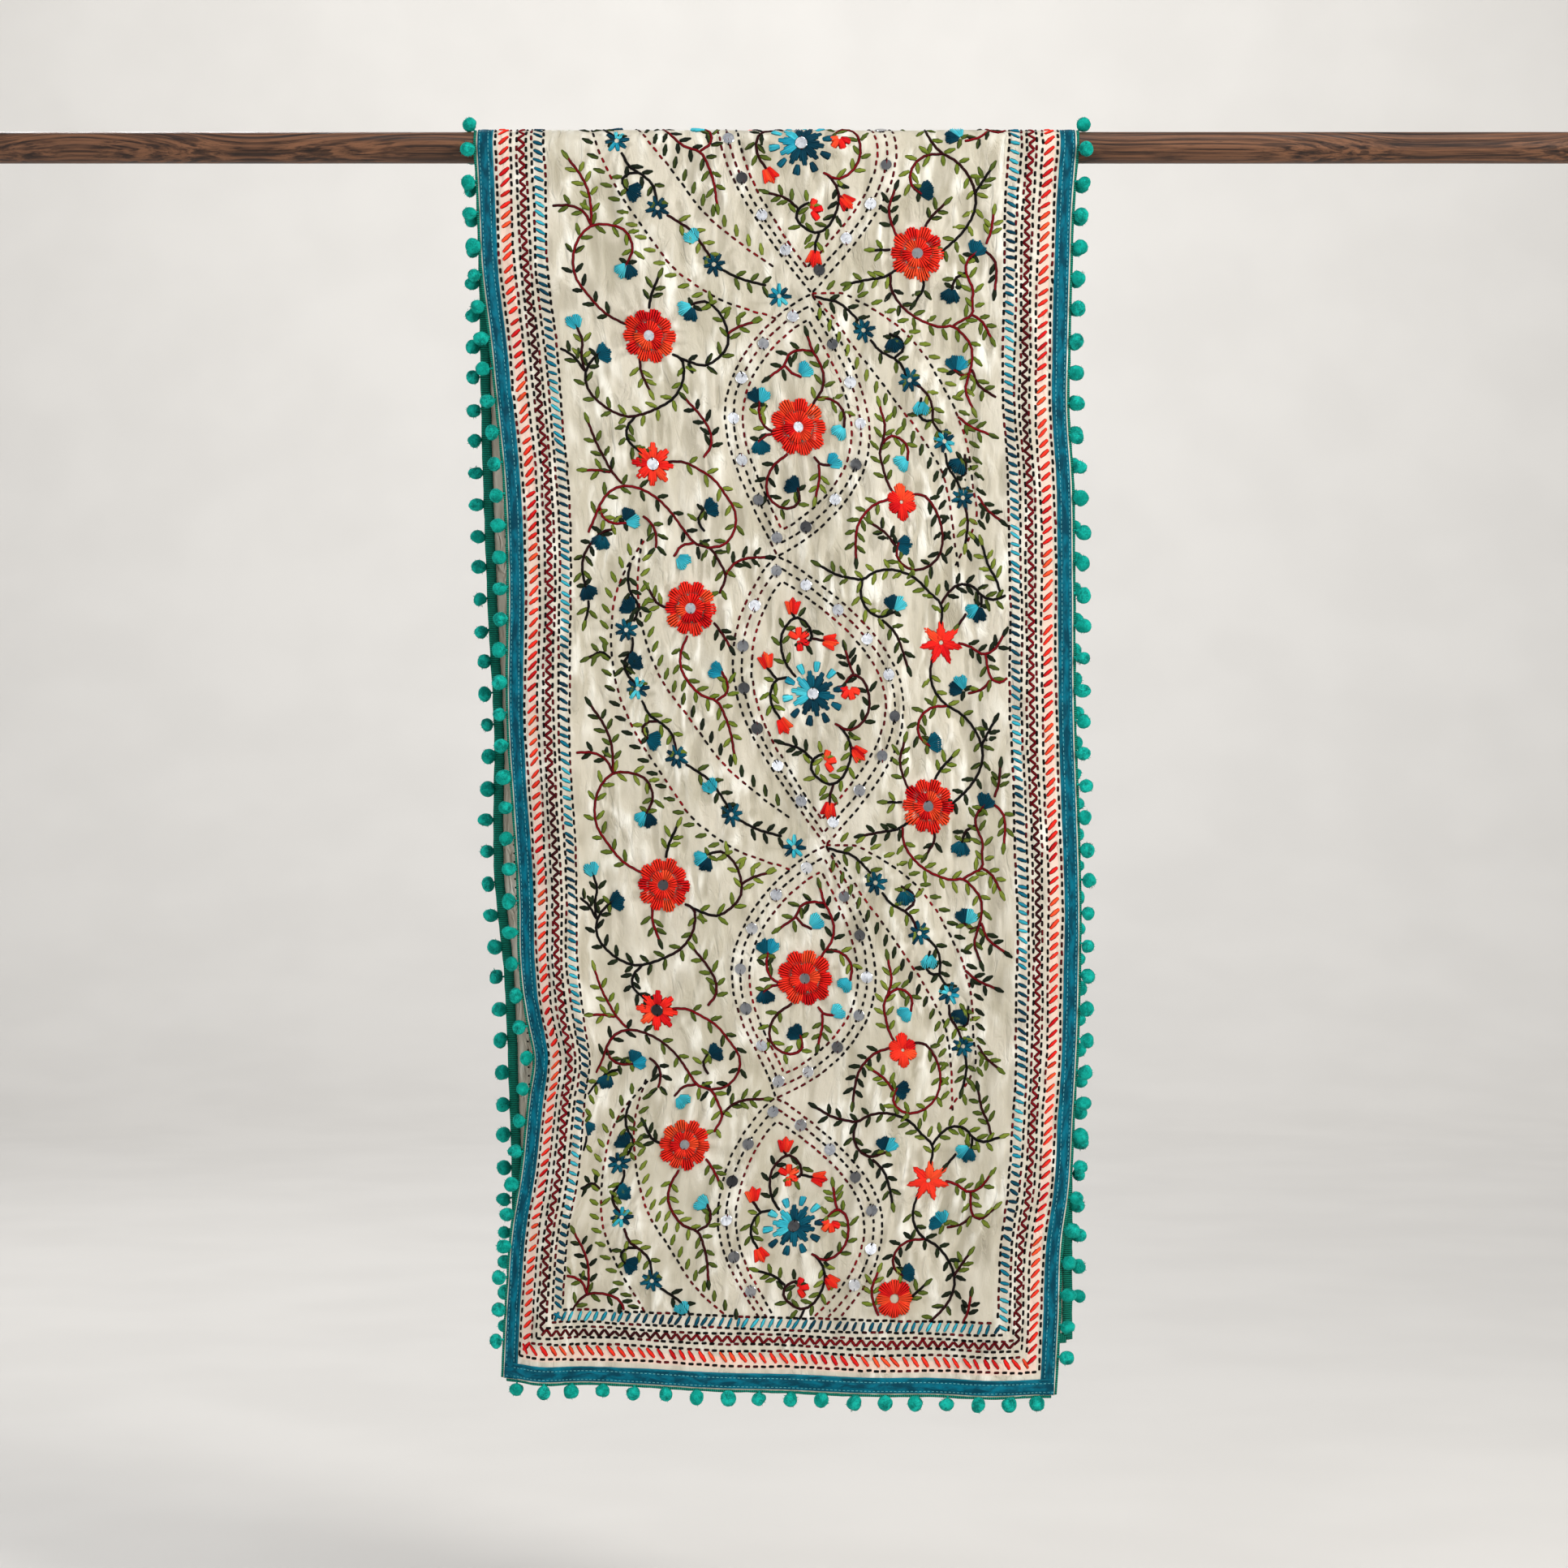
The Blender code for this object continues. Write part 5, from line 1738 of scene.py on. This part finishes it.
def fuzz_group():
    """Wool: loose fibres at two scales, for bump, and for a tone that is low where they lie low, used as
    painted shade.
    """
    inputs = (("Place", "NodeSocketVector", None), ("Scale", "NodeSocketFloat", 900.0))
    tree, start, end = new_group("wool_fuzz", inputs)
    place, scale = start.outputs["Place"], start.outputs["Scale"]
    fibres = noise(tree, place, scale, 3.0, 0.65, 1.2)
    tufts = noise(tree, place, times(tree, scale, 0.22))
    tree.links.new(plus(tree, fibres, times(tree, tufts, 1.4)), end.inputs["Height"])
    tree.links.new(ranged(tree, plus(tree, fibres, tufts), 0.75, 1.25), end.inputs["Tone"])
    return tree


def new_material(
    name, roughness, specular=0.5, sheen=0.0, sheen_tint=None, sheen_roughness=0.5, metallic=0.0
):
    material = bpy.data.materials.new(name)
    material.use_nodes = True
    shader = material.node_tree.nodes["Principled BSDF"]
    shader.inputs["Roughness"].default_value = roughness
    shader.inputs["Specular IOR Level"].default_value = specular
    shader.inputs["Sheen Weight"].default_value = sheen
    shader.inputs["Sheen Roughness"].default_value = sheen_roughness
    if sheen_tint:
        shader.inputs["Sheen Tint"].default_value = sheen_tint
    shader.inputs["Metallic"].default_value = metallic
    return material, material.node_tree


def finished(material, base, height=None, distance=0.0, strength=1.0, roughness=None):
    """Links what varies over a material's surface: its colour, its bump and its roughness."""
    tree = material.node_tree
    shader = tree.nodes["Principled BSDF"]
    tree.links.new(base, shader.inputs["Base Color"])
    if height is not None:
        bump = put(tree, "ShaderNodeBump", {"Height": height, "Distance": distance, "Strength": strength})
        tree.links.new(bump.outputs[0], shader.inputs["Normal"])
    if roughness is not None:
        tree.links.new(roughness, shader.inputs["Roughness"])
    return material


def silk_material(weave):
    """Ivory silk: cloudy tones, painted shade in the puckers' hollows and painted glints (highlights) on
    their crests, a fine weave, a paler border, and pink that bled from the red bars.
    """
    material, tree = new_material("ivory_silk", 0.40, specular=0.60)
    flat = flat_coordinates(tree)
    x, run, _ = parts_of(tree, flat)
    clouds = noise(tree, flat, (17.0, 9.0, 1.0), 3.0, 0.55)
    calm = noise(tree, flat, (26.0, 13.0, 1.0))
    wrinkles = noise(tree, flat, (96.0, 34.0, 1.0), 3.0, 0.55, 1.1)
    crests = times(tree, apart(tree, wrinkles, 0.5), -2.0)
    glints = noise(tree, flat, (88.0, 30.0, 1.0), 1.6, 0.5, 0.35)
    crumple = noise(tree, flat, (300.0, 170.0, 1.0), 2.0, 0.5, 0.5)
    relief = own_dye_and_painted_light(tree)["Fac"]
    base = blended(tree, ranged(tree, clouds, 0.35, 0.65), shade(184, 176, 154), shade(202, 194, 175))
    # Painted shade: the puckers' hollows, read from the relief, are darkened in the colour
    base = blended(tree, ranged(tree, relief, 0.20, 0.55, 0.55, 0.0), base, shade(150, 141, 118))
    lively = ranged(tree, calm, 0.40, 0.60, 0.20, 1.0)
    # Painted highlights: pale glints put into the colour on lively crests; the glint noise also raises the
    # bump
    bright = times(tree, ranged(tree, glints, 0.42, 0.68, 0.0, 0.9), lively)
    bright = times(tree, bright, ranged(tree, relief, 0.30, 0.75, 0.25, 1.0))
    base = blended(tree, bright, base, shade(240, 237, 225))
    from_side = maths(tree, "SUBTRACT", CUT_WIDTH / 2.0, maths(tree, "ABSOLUTE", x))
    from_front = maths(tree, "SUBTRACT", FRONT_HEM * MM, run)
    from_back = maths(tree, "SUBTRACT", run, BACK_HEM * MM)
    inset = maths(tree, "MINIMUM", from_side, maths(tree, "MINIMUM", from_front, from_back))
    border = ranged(tree, inset, 58.0 * MM, 66.0 * MM, 1.0, 0.0)
    base = blended(tree, times(tree, border, 0.22), base, shade(232, 222, 210))
    from_bars = apart(tree, inset, 24.2 * MM)
    bled = times(tree, ranged(tree, from_bars, 3.6 * MM, 6.4 * MM, 1.0, 0.0), 0.6)
    base = blended(tree, bled, base, shade(246, 206, 188))
    woven = put(tree, "ShaderNodeGroup", {"Flat": flat, "Threads per mm": 2.4}, node_tree=weave)
    height = plus(tree, wrinkles, times(tree, crests, 0.5))
    height = plus(tree, times(tree, height, lively), times(tree, glints, 0.5))
    height = plus(tree, height, times(tree, crumple, 0.14))
    height = plus(tree, height, times(tree, woven.outputs["Height"], 0.02))
    return finished(material, base, height, 0.0040, 0.85, ranged(tree, clouds, 0.35, 0.7, 0.46, 0.34))


def thread_material():
    """Lustrous stranded thread in its dyed colour, with twisted plies along each strand and painted shade
    along its sides.
    """
    material, tree = new_material("embroidery_thread", 0.46, specular=0.10)
    dye = own_dye_and_painted_light(tree)["Color"]
    along, around, _ = parts_of(tree, flat_coordinates(tree))
    plies = maths(tree, "SINE", plus(tree, times(tree, along, 5200.0), times(tree, around, 9.0)))
    fibres = noise(tree, own_place(tree), 2600.0)
    tone = ranged(tree, plus(tree, times(tree, plies, 0.2), fibres), 0.2, 0.8, 0.0, 0.35)
    base = blended(tree, tone, dye, blended(tree, 1.0, dye, (0.55, 0.55, 0.55, 1.0), "MULTIPLY"))
    # Painted shade: each strand's colour is darkened towards its sides, where neighbouring strands meet
    painted_groove_shade = blended(tree, 1.0, base, (0.22, 0.20, 0.20, 1.0), "MULTIPLY")
    base = blended(tree, ranged(tree, apart(tree, around, 0.5), 0.20, 0.48, 0.0, 0.95), base, painted_groove_shade)
    return finished(material, base, plus(tree, plies, fibres), 0.00016, 0.7)


def ribbon_material(weave):
    """Teal satin ribbon: fine ribs across, cloudy sheen in its roughness and partly painted into its colour,
    painted highlights on its paler edges, and two lines of pale topstitching.
    """
    material, tree = new_material("teal_ribbon", 0.42, specular=0.07)
    flat = flat_coordinates(tree)
    along, inset, _ = parts_of(tree, flat)
    clouds = noise(tree, flat, (60.0, 190.0, 1.0), 4.0, 0.6, 0.4)
    # Partly painted sheen: the cloudy colour from dark to lighter teal stands in for satin sheen; the same
    # clouds set the roughness
    base = blended(tree, ranged(tree, clouds, 0.38, 0.68), shade(0, 64, 82), shade(0, 110, 132))
    off_middle = apart(tree, inset, RIBBON_MIDDLE * MM)
    # Painted highlights: the ribbon's colour is made paler towards both edges
    base = blended(tree, ranged(tree, off_middle, 5.2 * MM, 7.2 * MM, 0.0, 0.5), base, shade(30, 140, 158))
    away = [apart(tree, inset, line * MM) for line in TOPSTITCH_LINES]
    lines = ranged(tree, maths(tree, "MINIMUM", *away), 0.15 * MM, 0.42 * MM, 1.0, 0.0)
    stitches = times(tree, lines, ranged(tree, wave(tree, along, TOPSTITCH_PITCH * MM), -0.35, 0.05))
    base = blended(tree, times(tree, stitches, 0.7), base, shade(112, 196, 200))
    woven = put(tree, "ShaderNodeGroup", {"Flat": flat, "Threads per mm": 3.2}, node_tree=weave)
    soft = noise(tree, flat, (160.0, 240.0, 1.0), 3.0, 0.6)
    height = plus(tree, times(tree, woven.outputs["Height"], 0.12), soft)
    height = maths(tree, "SUBTRACT", height, times(tree, lines, 0.35))
    return finished(material, base, height, 0.0009, 0.8, ranged(tree, clouds, 0.3, 0.7, 0.5, 0.34))


def wool_material(fuzz):
    """Bright green wool balls: tufts and fibres, with painted shade between them."""
    material, tree = new_material(
        "green_wool", 0.9, specular=0.1, sheen=0.18, sheen_tint=shade(60, 230, 210), sheen_roughness=0.45
    )
    place = own_place(tree)
    woolly = put(tree, "ShaderNodeGroup", {"Place": place, "Scale": 700.0}, node_tree=fuzz)
    patches = noise(tree, place, 42.0, 1.0)
    # Painted shade: the colour darkens where the fuzz's bump is low, between tufts and fibres
    base = blended(tree, woolly.outputs["Tone"], shade(0, 104, 94), shade(26, 200, 182))
    base = blended(tree, ranged(tree, patches, 0.40, 0.62, 0.0, 0.5), base, shade(0, 160, 142))
    return finished(material, base, woolly.outputs["Height"], 0.0020, 0.9)


def braid_material(fuzz):
    """The pompoms' woven braid: dark green, with ribs across it and painted shade in the troughs between them
    and between its fibres.
    """
    material, tree = new_material("green_braid", 0.8, specular=0.2)
    ribs = wave(tree, parts_of(tree, flat_coordinates(tree))[0], 1.9 * MM)
    woolly = put(tree, "ShaderNodeGroup", {"Place": own_place(tree), "Scale": 1500.0}, node_tree=fuzz)
    fuzzy = ranged(tree, woolly.outputs["Tone"], 0.0, 1.0, 0.7, 1.0)
    # Painted shade: darker colour in the troughs between the ribs, which also make the bump, and between
    # fibres
    tone = times(tree, ranged(tree, ribs, -0.9, 0.6), fuzzy)
    base = blended(tree, tone, shade(0, 84, 70), shade(10, 146, 122))
    return finished(material, base, plus(tree, ribs, woolly.outputs["Height"]), 0.0005, 0.9)


def mirror_material():
    """Small hand-cut mirrors, each with its own painted reflection brightness, slightly uneven, with a light
    haze in patches.
    """
    material, tree = new_material("mirror_work", 0.07, metallic=1.0)
    flat = flat_coordinates(tree)
    haze = noise(tree, flat, 180.0, 2.0, 0.6)
    # The mirror's colour carries its painted reflection brightness
    tone = own_dye_and_painted_light(tree)["Color"]
    dusty = blended(tree, 1.0, tone, (0.72, 0.73, 0.76, 1.0), "MULTIPLY")
    base = blended(tree, ranged(tree, haze, 0.35, 0.70), tone, dusty)
    uneven = noise(tree, flat, 90.0, 1.0)
    return finished(material, base, uneven, 0.0005, 0.10, ranged(tree, haze, 0.4, 0.7, 0.05, 0.14))


def walnut_material():
    """Oiled walnut: long grain that wanders across the rod, with dark lines, pores and changes of tone."""
    material, tree = new_material("walnut", 0.40, specular=0.3)
    place = own_place(tree)
    wander = times(tree, noise(tree, place, (2.6, 0.0, 0.0), 1.0), GRAIN_WANDER)
    drift = put(tree, "ShaderNodeCombineXYZ", {"Y": wander, "Z": wander}).outputs[0]
    place = put(tree, "ShaderNodeVectorMath", {0: place, 1: drift}, operation="ADD").outputs[0]
    grain = noise(tree, place, (3.0, 300.0, 300.0), 5.0, 0.62, 0.5)
    veins = noise(tree, place, (1.5, 260.0, 260.0), 1.0, 0.5, 0.2)
    pores = noise(tree, place, (60.0, 1500.0, 1500.0))
    slow = noise(tree, place, (2.2, 14.0, 14.0))
    base = blended(tree, ranged(tree, grain, 0.32, 0.66), shade(34, 21, 15), shade(118, 79, 54))
    base = blended(tree, ranged(tree, slow, 0.4, 0.6, 0.0, 0.35), base, shade(52, 31, 23))
    base = blended(tree, ranged(tree, veins, 0.36, 0.41, 0.65, 0.0), base, shade(16, 9, 7))
    base = blended(tree, ranged(tree, pores, 0.58, 0.70, 0.0, 0.55), base, shade(28, 17, 13))
    height = plus(tree, grain, times(tree, pores, 0.5))
    return finished(material, base, height, 0.0005, 0.6, ranged(tree, grain, 0.3, 0.7, 0.34, 0.52))


def paper_material():
    """Pale studio paper, with a faint change of tone."""
    material, tree = new_material("studio_paper", 0.9, specular=0.2)
    tone = noise(tree, own_place(tree), 3.0)
    base = blended(tree, ranged(tree, tone, 0.3, 0.7), shade(222, 219, 214), shade(226, 223, 218))
    return finished(material, base)


# Studio

FLOOR_HEIGHT = -1.36
FLOOR_NEAR = -9.0
BACKDROP_BACK = 8.0
BACKDROP_TOP = 7.0
BACKDROP_HALF_WIDTH = 10.0
BACKDROP_BEND = 3.0
CAMERA_PLACE = (0.0067, -3.22, -0.568)
CAMERA_LENS = 82.8
CAMERA_SENSOR = 36.0
FARTHEST_SEEN = 60.0


class Light(NamedTuple):
    name: str
    place: tuple
    target: tuple
    size: tuple
    power: float
    colour: tuple = (1.0, 1.0, 1.0)


LIGHTS = (
    Light("key_softbox", (2.2, -1.9, 0.7), (0.0, 0.0, -0.5), (0.8, 1.4), 77.0, (1.0, 0.98, 0.95)),
    Light("fill_panel", (-2.7, -1.4, -0.2), (0.0, 0.0, -0.6), (1.4, 2.0), 35.0, (0.96, 0.98, 1.0)),
    Light("top_softbox", (0.2, -0.6, 2.0), (0.0, 0.0, -0.3), (1.8, 0.8), 20.0),
    Light("back_softbox", (-1.5, 3.0, 1.9), (0.0, 0.0, -0.5), (1.4, 1.0), 55.0),
    Light("backdrop_wash", (0.0, 5.0, 3.2), (0.0, 8.0, -0.6), (5.0, 1.0), 110.0),
)


def make_backdrop(material):
    """Plain paper: a floor that curves up far behind the stole. It is the stage, not part of the object."""
    turn = np.linspace(0.0, np.pi / 2.0, 24)
    bend_depth = BACKDROP_BACK - BACKDROP_BEND + BACKDROP_BEND * np.sin(turn)
    bend_height = FLOOR_HEIGHT + BACKDROP_BEND - BACKDROP_BEND * np.cos(turn)
    depth = np.concatenate([[FLOOR_NEAR], bend_depth, [BACKDROP_BACK]])
    height = np.concatenate([[FLOOR_HEIGHT], bend_height, [BACKDROP_TOP]])
    x = np.linspace(-BACKDROP_HALF_WIDTH, BACKDROP_HALF_WIDTH, 3)
    points = np.zeros((len(depth), len(x), 3))
    points[:, :, 0] = x
    points[:, :, 1] = depth[:, None]
    points[:, :, 2] = height[:, None]
    return make_mesh("paper_backdrop", points, [grid_faces(*points.shape[:2])], material)


def add_light(light):
    lamp = bpy.data.lights.new(light.name, "AREA")
    lamp.shape = "RECTANGLE"
    lamp.size, lamp.size_y = light.size
    lamp.energy = light.power
    lamp.color = light.colour
    made = bpy.data.objects.new(light.name, lamp)
    made.location = light.place
    made.rotation_euler = (Vector(light.target) - Vector(light.place)).to_track_quat("-Z", "Y").to_euler()
    bpy.context.scene.collection.objects.link(made)


def light_studio():
    """Soft lights, and air that is white behind the camera and grey ahead of it, so the cloth has shade."""
    world = bpy.data.worlds.new("studio_air")
    world.use_nodes = True
    tree = world.node_tree
    background = tree.nodes["Background"]
    ahead = parts_of(tree, put(tree, "ShaderNodeTexCoord").outputs["Generated"])[1]
    air = blended(tree, ranged(tree, ahead, -1.0, -0.70), shade(255, 255, 255), shade(152, 153, 156))
    tree.links.new(air, background.inputs["Color"])
    background.inputs["Strength"].default_value = 1.0
    bpy.context.scene.world = world
    bpy.context.scene.view_settings.view_transform = "Standard"
    for light in LIGHTS:
        add_light(light)


def add_camera():
    camera = bpy.data.cameras.new("photo_camera")
    camera.lens = CAMERA_LENS
    camera.sensor_width = CAMERA_SENSOR
    camera.clip_end = FARTHEST_SEEN
    made = bpy.data.objects.new("photo_camera", camera)
    made.location = CAMERA_PLACE
    made.rotation_euler = (np.pi / 2.0, 0.0, 0.0)
    bpy.context.scene.collection.objects.link(made)
    bpy.context.scene.camera = made


def by_drop(rows):
    """Rows of a table that lie on each of the two sheets of silk. A row's second number is its run."""
    on_front = rows[:, 1] > -TURN
    return {"front": rows[on_front], "back": rows[~on_front]}


def build():
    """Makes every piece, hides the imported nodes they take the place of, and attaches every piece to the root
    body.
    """
    weave, fuzz = fine_weave_group(), fuzz_group()
    silk_cloth = silk_material(weave)
    thread, mirror_glass = thread_material(), mirror_material()
    ribbon_satin, wool, braid_cord = ribbon_material(weave), wool_material(fuzz), braid_material(fuzz)

    silk = silk_grid()
    front = make_silk("silk_front", silk, BACK_ROWS, len(silk.runs) - 1, silk_cloth)
    back = make_silk("silk_back", silk, 0, BACK_ROWS, silk_cloth)

    field, mirrors = sew_field()
    fields, mirrors = by_drop(field), by_drop(mirrors)
    borders = by_drop(np.concatenate([sew_border(), sew_wrong_side()]))
    sewn, glass = {}, {}
    for word in ("front", "back"):
        sewn[word] = [
            make_strands(f"embroidery_field_{word}", silk, fields[word], thread),
            make_strands(f"embroidery_border_{word}", silk, borders[word], thread),
        ]
    for word in ("front", "back"):
        glass[word] = make_mirrors(f"mirrors_{word}", silk, mirrors[word], mirror_glass)
    ribbons = make_ribbons(silk, ribbon_satin)
    braids = make_braids(silk, braid_cord)
    middles, ways, fronts = pompom_places()
    balls_front = make_pompoms("pompoms_front", middles[fronts], ways[fronts], 61, wool)
    balls_back = make_pompoms("pompoms_back", middles[~fronts], ways[~fronts], 62, wool)
    rod = make_rod(walnut_material())

    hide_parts("cloth_front", "cloth_over_rod")
    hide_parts("cloth_back")
    for ribbon, side in zip(ribbons, SIDES):
        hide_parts(f"ribbon_{side}")
    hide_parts("trim_front_left", "trim_over_left", "trim_back_left")
    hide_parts("trim_front_right", "trim_over_right", "trim_back_right")
    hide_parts("trim_front_hem")
    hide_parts("trim_back_hem")
    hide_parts("rod")

    slots = {
        "ivory_silk": [front, back],
        "embroidery_thread": sewn["front"] + sewn["back"],
        "mirror_work": [glass["front"], glass["back"]],
        "teal_ribbon": ribbons,
        "green_wool": [*braids, balls_front, balls_back],
        "walnut": [rod],
    }
    for slot, made in slots.items():
        for piece in made:
            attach(piece, "root")


build()
make_backdrop(paper_material())
light_studio()
add_camera()
